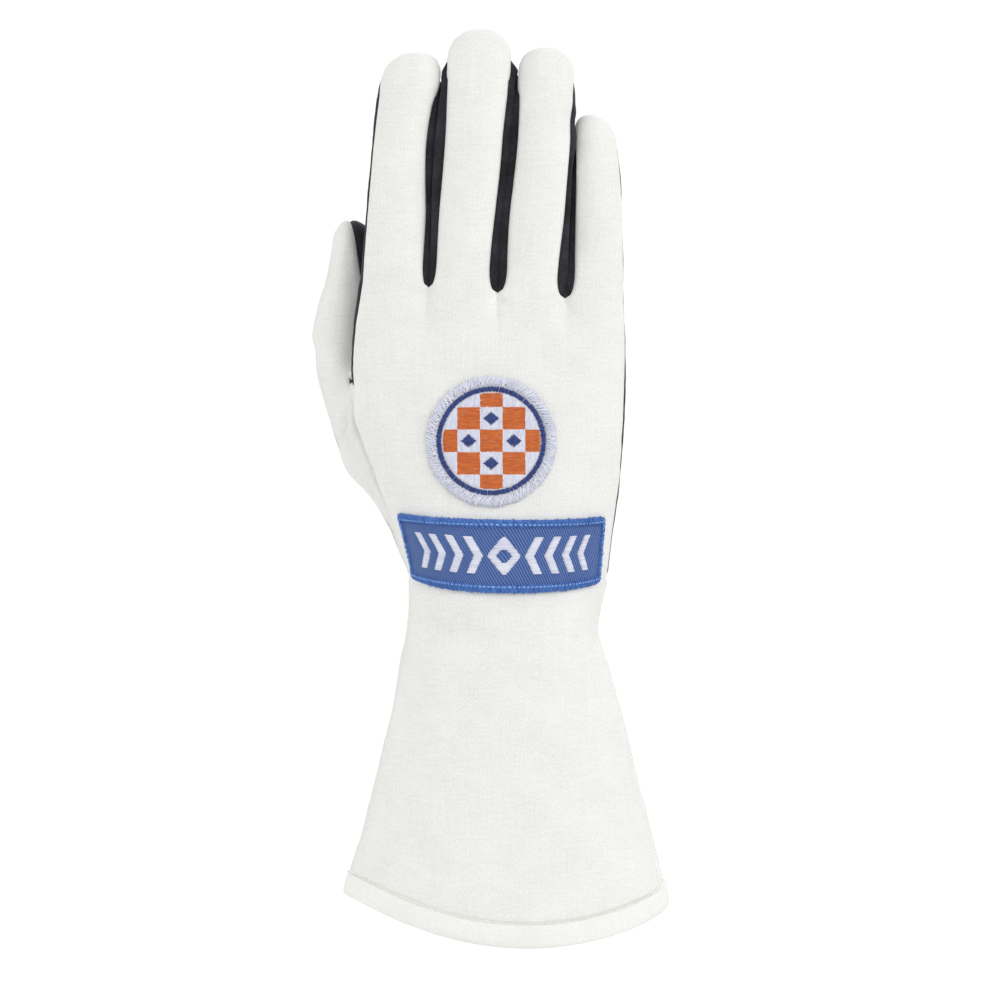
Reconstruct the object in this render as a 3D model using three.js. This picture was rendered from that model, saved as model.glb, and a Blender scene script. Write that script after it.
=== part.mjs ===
// A racing glove for the right hand, held in the form that it has when worn: a white knit back that
// runs from the fingertips to the hem of a long flared cuff, a black suede palm with a strip between
// each two fingers, a thumb of its own in white knit and black suede, and two sewn-on patches.
//
// Frame: millimetres, +Z towards the fingertips, +Y towards the palm side, +X towards the little
// finger. The origin is the middle of the wrist, where the hand sits when the glove is worn.
//
// Every panel is a sheet of points on one shared outer skin. Panels that meet share the points of
// their seam, so their walls are thickened along the same directions and stay clear of each other.
import * as THREE from "three";

const { lerp, clamp, smoothstep, degToRad } = THREE.MathUtils;

// Walls and seams
const wallThickness = 1.6;
const seamGap = 0.3;

// Hand, from the wrist to the web line where the fingers part
const palmLength = 112.4;
const webSlope = -0.08;
const palmWebRise = 5;
const wristWidth = 68;
const wristDepth = 46;
const thumbSideReach = 54.9;
const littleSideReach = 44;
const knuckleDepth = 28;
const thumbSideSeam = -84;
const littleSideSeam = 78;

// Cuff and hem
const cuffSideLength = 97;
const cuffFrontLength = 110.8;
const cuffTilt = 1.8;
const cuffMouthWidth = 113.6;
const cuffMouthDepth = 76;
const cuffTurn = 9;
const hemHeight = 8.6;
const hemThickness = 2.9;

// Fingers. root is the place of a finger's axis on the web line, as a share of the hand's width, lean
// its slant in degrees and dome the share of its length where the tip begins to round.
const fingerGap = 0.6;
const sideBulge = 3;
const outerSideBulge = 0.25;
const webRounding = 9;
const FINGERS = [
  { name: "index", width: 21.5, depth: 20.4, length: 84.4, curl: 5, root: 0.131, lean: 5.6, dome: 0.841 },
  { name: "middle", width: 21.8, depth: 21.4, length: 94.2, curl: 7, root: 0.389, lean: 3.64, dome: 0.865 },
  { name: "ring", width: 20.5, depth: 20.8, length: 89.9, curl: 7, root: 0.645, lean: 2.95, dome: 0.86 },
  { name: "little", width: 18, depth: 18.4, length: 67.2, curl: 5, root: 0.887, lean: -1.92, dome: 0.808 },
];

// Thumb. Its straight part starts beside the hand, behind its middle and above the top of its hole.
const thumbLength = 48.4;
const thumbWidth = 24;
const thumbDepth = 22;
const thumbRootOut = 2.5;
const thumbRootBehind = 23;
const thumbRootRise = 15.6;
const thumbTipInward = 1;
const thumbTipBehind = 2;

// Patches
const patchClearance = 0.3;
const patchThickness = 1.2;
const patchBorderWidth = 2.6;
const patchBorderHeight = 1.9;
const roundPatchRadius = 23;
const roundPatchOffset = -4.5;
const roundPatchHeight = 0.524;
const wristPatchBottom = 9.3;
const wristPatchHeight = 23.6;
const wristPatchTilt = 0.7;

// Half widths and half depths of the hand's section. left and right are shares of the way from the
// wrist's half width to the full reach, front and back shares of the way from the wrist's half depth
// to the knuckles'.
const HAND = [
  { along: 0, left: 0, right: 0.1, front: 0, back: 0 },
  { along: 0.1, left: 0.03, right: 0.34, front: 0.08, back: 0 },
  { along: 0.25, left: 0.29, right: 0.55, front: 0.25, back: 0.04 },
  { along: 0.4, left: 0.62, right: 0.77, front: 0.42, back: 0.14 },
  { along: 0.55, left: 0.91, right: 0.9, front: 0.6, back: 0.32 },
  { along: 0.7, left: 1, right: 0.97, front: 0.77, back: 0.56 },
  { along: 0.85, left: 0.96, right: 1, front: 0.9, back: 0.8 },
  { along: 1, left: 0.84, right: 0.92, front: 1, back: 1 },
];

// Growth of the cuff's half widths and half depth from the wrist to its mouth, as shares of the way
const CUFF = [
  { along: 0, left: 0, right: 0.044, depth: 0 },
  { along: 0.1, left: 0.03, right: 0, depth: 0.01 },
  { along: 0.2, left: 0.12, right: 0.13, depth: 0.11 },
  { along: 0.4, left: 0.3, right: 0.39, depth: 0.34 },
  { along: 0.6, left: 0.51, right: 0.59, depth: 0.55 },
  { along: 0.8, left: 0.72, right: 0.81, depth: 0.77 },
  { along: 1, left: 0.98, right: 1.03, depth: 1 },
];

// Edges of the white knit on each finger's back, as shares of its width either side of its axis
const OUTLINES = {
  index: [
    { along: 0, left: 0.571, right: 0.47 },
    { along: 0.15, left: 0.59, right: 0.449 },
    { along: 0.3, left: 0.602, right: 0.425 },
    { along: 0.45, left: 0.612, right: 0.358 },
    { along: 0.6, left: 0.617, right: 0.315 },
    { along: 0.75, left: 0.611, right: 0.345 },
    { along: 0.841, left: 0.599, right: 0.421 },
    { along: 1, left: 0.57, right: 0.45 },
  ],
  middle: [
    { along: 0, left: 0.485, right: 0.436 },
    { along: 0.15, left: 0.495, right: 0.44 },
    { along: 0.3, left: 0.5, right: 0.47 },
    { along: 0.45, left: 0.485, right: 0.503 },
    { along: 0.6, left: 0.48, right: 0.515 },
    { along: 0.75, left: 0.499, right: 0.545 },
    { along: 0.865, left: 0.52, right: 0.554 },
    { along: 1, left: 0.52, right: 0.55 },
  ],
  ring: [
    { along: 0, left: 0.455, right: 0.455 },
    { along: 0.15, left: 0.479, right: 0.483 },
    { along: 0.3, left: 0.478, right: 0.528 },
    { along: 0.45, left: 0.439, right: 0.552 },
    { along: 0.6, left: 0.402, right: 0.576 },
    { along: 0.75, left: 0.404, right: 0.59 },
    { along: 0.86, left: 0.438, right: 0.563 },
    { along: 1, left: 0.46, right: 0.54 },
  ],
  little: [
    { along: 0, left: 0.445, right: 0.595 },
    { along: 0.15, left: 0.421, right: 0.609 },
    { along: 0.3, left: 0.397, right: 0.62 },
    { along: 0.45, left: 0.369, right: 0.627 },
    { along: 0.6, left: 0.34, right: 0.622 },
    { along: 0.75, left: 0.32, right: 0.599 },
    { along: 0.808, left: 0.315, right: 0.575 },
    { along: 1, left: 0.36, right: 0.5 },
  ],
};

// Profile of a finger seen from its side: depth as a share of the finger's, curl as a share of its
// bend towards the palm, and the fall of its back and palm from their crest to the seams beside a
// neighbour, as a share of the depth there
const FINGER_SIDE = [
  { along: 0, depth: 1, curl: 0, fall: 0.14 },
  { along: 0.12, depth: 0.985, curl: 0.02, fall: 0.2 },
  { along: 0.25, depth: 0.97, curl: 0.08, fall: 0.26 },
  { along: 0.5, depth: 0.96, curl: 0.3, fall: 0.27 },
  { along: 0.75, depth: 0.92, curl: 0.65, fall: 0.27 },
  { along: 1, depth: 0.84, curl: 1, fall: 0.27 },
];
const OUTER_FALL = 0.27;
const ARCH_SPREAD = degToRad(62);
const DOME_POWER = 2.35;

// Where the seams of a finger leave its sides near the tip. knit is how far the white knit reaches
// round each side, from 0 at its edge on the back to 1 at the palm's seam and 1.5 where both meet.
const TIP_SEAMS = [
  { along: 0, knit: 0 },
  { along: 0.8, knit: 0 },
  { along: 0.865, knit: 0.3 },
  { along: 0.93, knit: 1 },
  { along: 0.985, knit: 1.5 },
  { along: 1, knit: 1.5 },
];
const FOURCHETTE_END = 0.93;
const KNIT_CLOSES = 0.985;

// Outline of the thumb either side of its axis, as shares of its width, and its depth
const THUMB = [
  { along: 0, outer: 0.48, inner: 0.48, depth: 1.04 },
  { along: 0.12, outer: 0.53, inner: 0.47, depth: 1 },
  { along: 0.34, outer: 0.455, inner: 0.455, depth: 0.98 },
  { along: 0.53, outer: 0.345, inner: 0.425, depth: 0.97 },
  { along: 0.68, outer: 0.298, inner: 0.415, depth: 0.96 },
  { along: 0.82, outer: 0.262, inner: 0.395, depth: 0.92 },
  { along: 1, outer: 0.25, inner: 0.36, depth: 0.9 },
];
const THUMB_DOME = 0.82;

// How far the palm's edge stands back from the seam to make room for the thumb, in degrees
const THUMB_HOLE = [
  { along: 0, open: 0 },
  { along: 0.09, open: 0 },
  { along: 0.2, open: 26 },
  { along: 0.3, open: 44 },
  { along: 0.4, open: 53 },
  { along: 0.5, open: 53 },
  { along: 0.59, open: 44 },
  { along: 0.68, open: 30 },
];

// How far the foot of the thumb stands out beside its smooth line, as a share of its width. along is
// the height as a share of the palm's length.
const THUMB_FOLD = [
  { along: 0.178, out: 0 },
  { along: 0.302, out: -0.035 },
  { along: 0.356, out: 0 },
  { along: 0.427, out: 0.1 },
  { along: 0.516, out: 0.035 },
  { along: 0.64, out: -0.03 },
  { along: 0.765, out: 0 },
];

// Half length of the wrist patch either side of its middle, in degrees round the wrist, and the sag of
// its edge as a share of its height. along runs from its upper to its lower edge.
const WRIST_PATCH = [
  { along: 0, left: 62.5, right: 59.5, sag: 0.08 },
  { along: 1, left: 67, right: 62, sag: 0.185 },
];

// Reads one column of a table as a smooth curve through its rows.
function curveOf(rows, key) {
  const x = rows.map((row) => row.along);
  const y = rows.map((row) => row[key]);
  const last = rows.length - 1;
  const slope = y.map((_, i) => {
    const a = Math.max(i - 1, 0);
    const b = Math.min(i + 1, last);
    return (y[b] - y[a]) / (x[b] - x[a]);
  });
  return (at) => {
    const t = clamp(at, x[0], x[last]);
    let i = 0;
    while (i < last - 1 && t > x[i + 1]) i += 1;
    const step = x[i + 1] - x[i];
    const u = (t - x[i]) / step;
    const rise = y[i + 1] - y[i];
    const bend = (slope[i] * step - rise) * (1 - u) + (rise - slope[i + 1] * step) * u;
    return y[i] + rise * u + u * (1 - u) * bend;
  };
}

// Reads one column of a table as straight runs between its rows.
function lineOf(rows, key) {
  return (at) => {
    let i = 0;
    while (i < rows.length - 2 && at > rows[i + 1].along) i += 1;
    const share = (at - rows[i].along) / (rows[i + 1].along - rows[i].along);
    return lerp(rows[i][key], rows[i + 1][key], clamp(share, 0, 1));
  };
}

const signedPower = (value, power) => Math.sign(value) * Math.abs(value) ** power;
const quarterRound = (share, power = 2) => (1 - (1 - clamp(share, 0, 1)) ** power) ** (1 / power);

// Hand and cuff
const handLeft = curveOf(HAND, "left");
const handRight = curveOf(HAND, "right");
const handFront = curveOf(HAND, "front");
const handBack = curveOf(HAND, "back");
const cuffLeft = curveOf(CUFF, "left");
const cuffRight = curveOf(CUFF, "right");
const cuffDepth = curveOf(CUFF, "depth");
const holeOpening = curveOf(THUMB_HOLE, "open");
const KNUCKLE_SQUARENESS = 2.5;
const WRIST_SQUARENESS = 2.2;
const MOUTH_SQUARENESS = 2;

// One point of a closed section. angle is measured from the middle of the back of the hand, positive
// towards the little finger.
function sectionPoint(angle, section) {
  const across = Math.sin(angle);
  const ahead = Math.cos(angle);
  const reach = across < 0 ? section.left : section.right;
  const depth = ahead > 0 ? section.front : section.back;
  const power = 2 / section.squareness;
  return { x: signedPower(across, power) * reach, y: -signedPower(ahead, power) * depth };
}

// The angle at which a section reaches x, on the side of the back of the hand
function sectionAngle(x, section) {
  const share = x / (x < 0 ? section.left : section.right);
  return Math.asin(signedPower(clamp(share, -1, 1), section.squareness / 2));
}

function handSection(along) {
  const half = wristWidth / 2;
  return {
    left: lerp(half, thumbSideReach, handLeft(along)),
    right: lerp(half, littleSideReach, handRight(along)),
    front: lerp(wristDepth, knuckleDepth, handFront(along)) / 2,
    back: lerp(wristDepth, knuckleDepth, handBack(along)) / 2,
    squareness: lerp(WRIST_SQUARENESS, KNUCKLE_SQUARENESS, along),
  };
}

function cuffPoint(angle, along) {
  const left = lerp(wristWidth, cuffMouthWidth, cuffLeft(along)) / 2;
  const right = lerp(wristWidth, cuffMouthWidth, cuffRight(along)) / 2;
  const depth = lerp(wristDepth, cuffMouthDepth, cuffDepth(along)) / 2;
  const squareness = lerp(WRIST_SQUARENESS, MOUTH_SQUARENESS, along);
  const { x, y } = sectionPoint(angle, { left, right, front: depth, back: depth, squareness });
  const side = cuffSideLength + cuffTilt * Math.sin(angle);
  const length = lerp(side, cuffFrontLength, Math.cos(angle - degToRad(cuffTurn)) ** 2);
  return new THREE.Vector3(x, y, -along * length);
}

const webHeight = (x) => palmLength + webSlope * x;

// Fingers
const knuckleSection = handSection(1);
const fingerDepth = curveOf(FINGER_SIDE, "depth");
const fingerCurl = curveOf(FINGER_SIDE, "curl");
const fingerFall = curveOf(FINGER_SIDE, "fall");
const knitReach = lineOf(TIP_SEAMS, "knit");

for (const finger of FINGERS) {
  finger.leftShare = curveOf(OUTLINES[finger.name], "left");
  finger.rightShare = curveOf(OUTLINES[finger.name], "right");
  finger.rootX = lerp(-knuckleSection.left, knuckleSection.right, finger.root);
  finger.rootZ = webHeight(finger.rootX);
  finger.tipZ = finger.rootZ + finger.length;
  finger.tipX = finger.rootX + finger.length * Math.tan(degToRad(finger.lean));
  const reach = finger.rootX < 0 ? knuckleSection.left : knuckleSection.right;
  const across = Math.abs(finger.rootX) / reach;
  finger.topY = -knuckleSection.front * (1 - across ** KNUCKLE_SQUARENESS) ** (1 / KNUCKLE_SQUARENESS);
}

// Axis and outline of a finger at a height, without what its neighbours do to it.
function fingerOutline(finger, height) {
  const along = clamp((height - finger.rootZ) / finger.length, 0, 1);
  const axis = lerp(finger.rootX, finger.tipX, along);
  return {
    along,
    axis,
    left: axis - finger.leftShare(along) * finger.width,
    right: axis + finger.rightShare(along) * finger.width,
  };
}

// The middle of the gap between finger i and the next one, half its width between the white edges,
// and whether both fingers reach that height, from 1 to 0.
const TIP_BLEND = 4.5;
function gapAt(i, height) {
  const near = fingerOutline(FINGERS[i], height);
  const far = fingerOutline(FINGERS[i + 1], height);
  const shorter = Math.min(FINGERS[i].tipZ, FINGERS[i + 1].tipZ);
  return {
    middle: (near.right + far.left) / 2,
    half: Math.max((far.left - near.right) / 2, fingerGap),
    shared: 1 - smoothstep(height, shorter - TIP_BLEND, shorter + TIP_BLEND),
  };
}

// Levels of a finger's section in Y at a share of its length: its crests and, for a fall, its seams
function fingerLevels(finger, along, fall) {
  const depth = finger.depth * fingerDepth(along);
  const top = finger.topY + finger.curl * fingerCurl(along) + (finger.depth - depth) / 2;
  return { top, bottom: top + depth, knit: top + depth * fall, palm: top + depth * (1 - fall) };
}

// Seam levels on one side of a finger. At the web both neighbours share the same level.
const SEAM_SETTLE = 0.3;
function seamLevels(i, side, along) {
  const next = i + side;
  if (next < 0 || next >= FINGERS.length) return fingerLevels(FINGERS[i], along, OUTER_FALL);
  const own = fingerLevels(FINGERS[i], along, fingerFall(along));
  const rootOwn = fingerLevels(FINGERS[i], 0, fingerFall(0));
  const rootNext = fingerLevels(FINGERS[next], 0, fingerFall(0));
  const settle = 1 - smoothstep(along, 0, SEAM_SETTLE);
  return {
    knit: own.knit + settle * ((rootNext.knit - rootOwn.knit) / 2),
    palm: own.palm + settle * ((rootNext.palm - rootOwn.palm) / 2),
  };
}

// One side wall of a finger: its two seam edges and the most that it bulges, in X.
function fingerSide(i, side, height, share) {
  const outline = fingerOutline(FINGERS[i], height);
  const edge = side > 0 ? outline.right : outline.left;
  const next = i + side;
  if (next < 0 || next >= FINGERS.length) return { edge, wall: edge + side * outerSideBulge * share };
  const gap = gapAt(Math.min(i, next), height);
  const seam = gap.middle - side * gap.half;
  const bulge = lerp(outerSideBulge, sideBulge, gap.shared);
  const free = edge + side * bulge * share;
  const limit = gap.middle - (side * fingerGap) / 2;
  const held = side > 0 ? Math.min(free, limit) : Math.max(free, limit);
  return { edge: lerp(edge, seam, gap.shared), wall: lerp(free, held, gap.shared), gap };
}

// A point of a finger's skin. turn runs once round the finger: 0 to 1 over its back from left to
// right, 1 to 2 down its right side, 2 to 3 over its palm side and 3 to 4 up its left side. along
// runs from the web to the tip.
const PARTS = ["back", "right side", "palm side", "left side"];
const DOME_BLEND = { before: 0.14, after: 0.06 };
function fingerPoint(i, turn, along) {
  const finger = FINGERS[i];
  const at = ((turn % PARTS.length) + PARTS.length) % PARTS.length;
  const part = Math.min(Math.floor(at), PARTS.length - 1);
  const share = at - part;
  const start = fingerBase(i, part, share);
  const height = lerp(start, finger.tipZ, along);
  const rounding = quarterRound((height - start) / webRounding);
  const towardsGap = (side, x) => {
    const wall = fingerSide(i, side, height, 0);
    return wall.gap ? lerp(lerp(x, wall.gap.middle, wall.gap.shared), x, rounding) : x;
  };
  const levels = fingerLevels(finger, along, OUTER_FALL);
  let x;
  let y;
  if (part === 0 || part === 2) {
    const spread = (part === 0 ? 2 * share - 1 : 1 - 2 * share) * ARCH_SPREAD;
    const left = towardsGap(-1, fingerSide(i, -1, height, 0).edge);
    const right = towardsGap(1, fingerSide(i, 1, height, 0).edge);
    const seams = seamLevels(i, Math.sign(spread) || 1, along);
    const drop = (1 - Math.cos(spread)) / (1 - Math.cos(ARCH_SPREAD));
    x = (left + right) / 2 + ((right - left) / 2) * (Math.sin(spread) / Math.sin(ARCH_SPREAD));
    y = part === 0 ? lerp(levels.top, seams.knit, drop) : lerp(levels.bottom, seams.palm, drop);
  } else {
    const side = part === 1 ? 1 : -1;
    const down = part === 1 ? share : 1 - share;
    const seams = seamLevels(i, side, along);
    x = towardsGap(side, fingerSide(i, side, height, 4 * down * (1 - down)).wall);
    y = lerp(seams.knit, seams.palm, down);
  }
  const outline = fingerOutline(finger, height);
  const half = (outline.right - outline.left) / 2 + outerSideBulge;
  const sweep = part % 2 === 0 ? 120 * share - 60 : 60 * share + 60;
  const bearing = degToRad(sweep + (part > 1 ? 180 : 0));
  const rounded = smoothstep(along, finger.dome - DOME_BLEND.before, finger.dome + DOME_BLEND.after);
  x = lerp(x, (outline.left + outline.right) / 2 + half * Math.sin(bearing), rounded);
  y = lerp(y, (levels.top + levels.bottom - (levels.bottom - levels.top) * Math.cos(bearing)) / 2, rounded);
  const centre = lerp((outline.left + outline.right) / 2, outline.axis, rounded);
  const dome = along > finger.dome ? quarterRound((1 - along) / (1 - finger.dome), DOME_POWER) : 1;
  const middle = (levels.top + levels.bottom) / 2;
  return new THREE.Vector3(centre + (x - centre) * dome, middle + (y - middle) * dome, height);
}

// Where the web line is parted: the two outer edges of the hand and the three crotches
const WEB_MARKS = [
  fingerOutline(FINGERS[0], 0).left,
  ...[0, 1, 2].map((i) => gapAt(i, (FINGERS[i].rootZ + FINGERS[i + 1].rootZ) / 2).middle),
  fingerOutline(FINGERS[3], 0).right,
];

// The height at which a finger's skin leaves the web, for a place round the finger.
function fingerBase(i, part, share) {
  const left = WEB_MARKS[i];
  const right = WEB_MARKS[i + 1];
  if (part === 0) return webHeight(lerp(left, right, share));
  if (part === 2) return webHeight(lerp(right, left, share)) + palmWebRise;
  const down = part === 1 ? share : 1 - share;
  return webHeight(part === 1 ? right : left) + palmWebRise * Math.sin((down * Math.PI) / 2);
}

// Places round a finger in even steps of arc length, where a side wall counts less than an arch
const SIDE_WEIGHT = 0.4;
function arcOf(turn) {
  const laps = Math.floor(turn / 2);
  const rest = turn - 2 * laps;
  return laps * (1 + SIDE_WEIGHT) + Math.min(rest, 1) + Math.max(rest - 1, 0) * SIDE_WEIGHT;
}
function turnOf(arc) {
  const laps = Math.floor(arc / (1 + SIDE_WEIGHT));
  const rest = arc - laps * (1 + SIDE_WEIGHT);
  return 2 * laps + Math.min(rest, 1) + Math.max(rest - 1, 0) / SIDE_WEIGHT;
}
const stepsBetween = (from, to, count) =>
  Array.from({ length: count + 1 }, (_, k) => turnOf(lerp(arcOf(from), arcOf(to), k / count)));

// Rows and columns of the sheets
const COLUMNS = 6;
const SIDE_COLUMNS = 2;
const WEB_COLUMNS = 3;
const BODY_ROWS = [0, 0.035, 0.09, 0.18, 0.34, 0.5, 0.66, 0.78];
const DOME_TURNS = [0, 0.35, 0.6, 0.8];
const HAND_ROWS = [0, 0.09, 0.2, 0.3, 0.4, 0.5, 0.59, 0.68, 0.78, 0.87, 0.94, 1];
const CUFF_ROWS = [0, 0.12, 0.26, 0.42, 0.6, 0.8, 1];
const THUMB_TOP_ROW = HAND_ROWS.indexOf(0.68);
const PALM_FIRST_ROW = 1;

function fingerRows(finger) {
  const dome = DOME_TURNS.map((turn) => lerp(finger.dome, 1, Math.sin((turn * Math.PI) / 2)));
  const rows = [...BODY_ROWS, ...dome, FOURCHETTE_END, KNIT_CLOSES, 1];
  const sorted = [...new Set(rows)].sort((a, b) => a - b);
  return sorted.filter((row, k) => k === 0 || row - sorted[k - 1] > 0.012 || row >= FOURCHETTE_END);
}

// A sheet collects points and faces of one panel. Points closer than this are one point.
const WELD = 1e-3;
const keyOf = (p) => `${Math.round(p.x / WELD)},${Math.round(p.y / WELD)},${Math.round(p.z / WELD)}`;

class Sheet {
  constructor(name) {
    this.name = name;
    this.points = [];
    this.index = new Map();
    this.faces = [];
  }

  point(p) {
    const key = keyOf(p);
    if (!this.index.has(key)) {
      this.index.set(key, this.points.length);
      this.points.push(p.clone());
    }
    return this.index.get(key);
  }

  face(a, b, c) {
    if (a !== b && b !== c && c !== a) this.faces.push([a, b, c]);
  }

  // A grid of rows of points. Seen from outside, rows go up and columns go right.
  grid(rows) {
    const ids = rows.map((row) => row.map((p) => this.point(p)));
    for (let r = 0; r + 1 < ids.length; r += 1) {
      for (let c = 0; c + 1 < ids[r].length; c += 1) {
        this.face(ids[r][c], ids[r][c + 1], ids[r + 1][c + 1]);
        this.face(ids[r][c], ids[r + 1][c + 1], ids[r + 1][c]);
      }
    }
  }
}

// The columns of the hand run up to the roots of the fingers, front and back
const frontWeb = FINGERS.flatMap((_, i) =>
  stepsBetween(0, 1, COLUMNS).slice(i === 0 ? 0 : 1).map((turn) => fingerPoint(i, turn, 0)),
);
const backWeb = [
  ...stepsBetween(1, 2, SIDE_COLUMNS).slice(0, -1).map((turn) => fingerPoint(3, turn, 0)),
  ...[3, 2, 1, 0].flatMap((i, k) =>
    stepsBetween(2, 3, COLUMNS).slice(k === 0 ? 0 : 1).map((turn) => fingerPoint(i, turn, 0)),
  ),
  ...stepsBetween(3, 4, SIDE_COLUMNS).slice(1).map((turn) => fingerPoint(0, turn, 0)),
];
const seamRight = degToRad(littleSideSeam);
const seamLeft = degToRad(thumbSideSeam);
const frontColumns = frontWeb.map((web, k) => {
  if (k === 0) return { web, angle: seamLeft };
  return { web, angle: k === frontWeb.length - 1 ? seamRight : sectionAngle(web.x, knuckleSection) };
});
const backColumns = backWeb.map((web, k) => {
  const last = backWeb.length - 1;
  const opposite = (p) => Math.PI - sectionAngle(p.x, knuckleSection);
  const inner = SIDE_COLUMNS + 1;
  if (k < inner) return { web, angle: lerp(seamRight, opposite(backWeb[inner]), k / inner) };
  if (k <= last - inner) return { web, angle: opposite(web) };
  return { web, angle: lerp(2 * Math.PI + seamLeft, opposite(backWeb[last - inner]), (last - k) / inner) };
});

// Below the thumb's crotch the palm and the rear of the cuff leave out the last columns, and their
// own last column runs round the hole of the thumb.
const lowColumns = backColumns.slice(0, -SIDE_COLUMNS);
const HOLE_PIVOT = degToRad(185);
function lowAngle(column, along) {
  if (column.angle < HOLE_PIVOT) return column.angle;
  const end = degToRad(360 + thumbSideSeam - holeOpening(along));
  const share = (column.angle - HOLE_PIVOT) / (lowColumns[lowColumns.length - 1].angle - HOLE_PIVOT);
  return lerp(HOLE_PIVOT, end, share);
}

// A point of the hand on one column. The web's own shape fades out below the fingers.
const WEB_FADE = 2.5;
function handPoint(column, along) {
  const low = column.angle > HOLE_PIVOT && along < HAND_ROWS[THUMB_TOP_ROW];
  const at = sectionPoint(low ? lowAngle(column, along) : column.angle, handSection(along));
  const atWeb = sectionPoint(column.angle, knuckleSection);
  const fade = smoothstep(along, HAND_ROWS[THUMB_TOP_ROW], 1) ** WEB_FADE;
  return new THREE.Vector3(
    at.x + (column.web.x - atWeb.x) * fade,
    at.y + (column.web.y - atWeb.y) * fade,
    along * column.web.z,
  );
}

// Panels
const back = new Sheet("back_panel");
back.grid([
  ...[...CUFF_ROWS].reverse().map((v) => frontColumns.map((c) => cuffPoint(c.angle, v))),
  ...HAND_ROWS.slice(1).map((s) => frontColumns.map((c) => handPoint(c, s))),
]);

const palm = new Sheet("palm_panel");
const handRow = (columns) => (along) => columns.map((column) => handPoint(column, along));
palm.grid(HAND_ROWS.slice(PALM_FIRST_ROW, THUMB_TOP_ROW + 1).map(handRow(lowColumns)));
palm.grid(HAND_ROWS.slice(THUMB_TOP_ROW).map(handRow(backColumns)));

const rearCuff = new Sheet("cuff_rear_panel");
rearCuff.grid([
  ...[...CUFF_ROWS].reverse().map((v) => lowColumns.map((c) => cuffPoint(lowAngle(c, 0), v))),
  ...HAND_ROWS.slice(1, PALM_FIRST_ROW + 1).map(handRow(lowColumns)),
]);

// Places round a finger from one turn to another with a column on each edge between its four parts.
// A part that is left out leaves its columns in one place, and the grid skips them.
function tipSteps(from, to) {
  const held = (edge) => clamp(edge, from, to);
  const parts = [
    { start: -2, end: -1, count: 1 },
    { start: -1, end: 0, count: SIDE_COLUMNS },
    { start: 0, end: 1, count: COLUMNS },
    { start: 1, end: 2, count: SIDE_COLUMNS },
    { start: 2, end: 3, count: 1 },
  ];
  const steps = parts.map((part) => stepsBetween(held(part.start), held(part.end), part.count));
  return steps.flatMap((turns, k) => (k === 0 ? turns : turns.slice(1)));
}

FINGERS.forEach((finger, i) => {
  const rows = fingerRows(finger);
  back.grid(
    rows.map((v) => tipSteps(-knitReach(v), 1 + knitReach(v)).map((turn) => fingerPoint(i, turn, v))),
  );
  const palmRows = rows.filter((v) => v <= KNIT_CLOSES);
  palm.grid(
    palmRows.map((v) => {
      const side = Math.min(knitReach(v), 1);
      const past = Math.max(knitReach(v) - 1, 0);
      const near = i === 3 ? stepsBetween(1 + side, 2, SIDE_COLUMNS).slice(0, -1) : [];
      const far = i === 0 ? stepsBetween(3, 4 - side, SIDE_COLUMNS).slice(1) : [];
      const own = stepsBetween(2 + past, 3 - past, COLUMNS);
      if (past > 0) return [...near.map(() => own[0]), ...own, ...far.map(() => own[COLUMNS])];
      return [...near, ...own, ...far];
    }).map((turns, r) => turns.map((turn) => fingerPoint(i, turn, palmRows[r]))),
  );
});

// A strip between two fingers, down one side, through the web and up the other
const fourchettes = [0, 1, 2].map((i) => {
  const strip = new Sheet(`fourchette_${FINGERS[i].name}_${FINGERS[i + 1].name}`);
  const wall = (finger, stepsAt) =>
    fingerRows(FINGERS[finger])
      .filter((v) => v <= FOURCHETTE_END)
      .map((v) => stepsAt(Math.min(knitReach(v), 1)).map((turn) => fingerPoint(finger, turn, v)));
  strip.grid(wall(i, (side) => stepsBetween(1 + side, 2, WEB_COLUMNS)));
  strip.grid(wall(i + 1, (side) => stepsBetween(3, 4 - side, WEB_COLUMNS)));
  return strip;
});

// Thumb: a tube that grows out of the hole between the back and the palm
const thumbOuter = curveOf(THUMB, "outer");
const thumbInner = curveOf(THUMB, "inner");
const thumbDepthShare = curveOf(THUMB, "depth");
const thumbFold = curveOf(THUMB_FOLD, "out");
const frontEdge = (row) => handPoint(frontColumns[0], HAND_ROWS[row]);
const palmEdge = (row) => handPoint(lowColumns[lowColumns.length - 1], HAND_ROWS[row]);
const thumbTopHeight = HAND_ROWS[THUMB_TOP_ROW];
const crotchEdge = (k) => handPoint(backColumns[backColumns.length - 1 - k], thumbTopHeight);
const thumbRoot = new THREE.Vector3(
  -thumbSideReach - thumbRootOut,
  thumbRootBehind,
  thumbTopHeight * palmLength + thumbRootRise,
);
const thumbTipShift = new THREE.Vector3(thumbTipInward, thumbTipBehind, 0);

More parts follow.
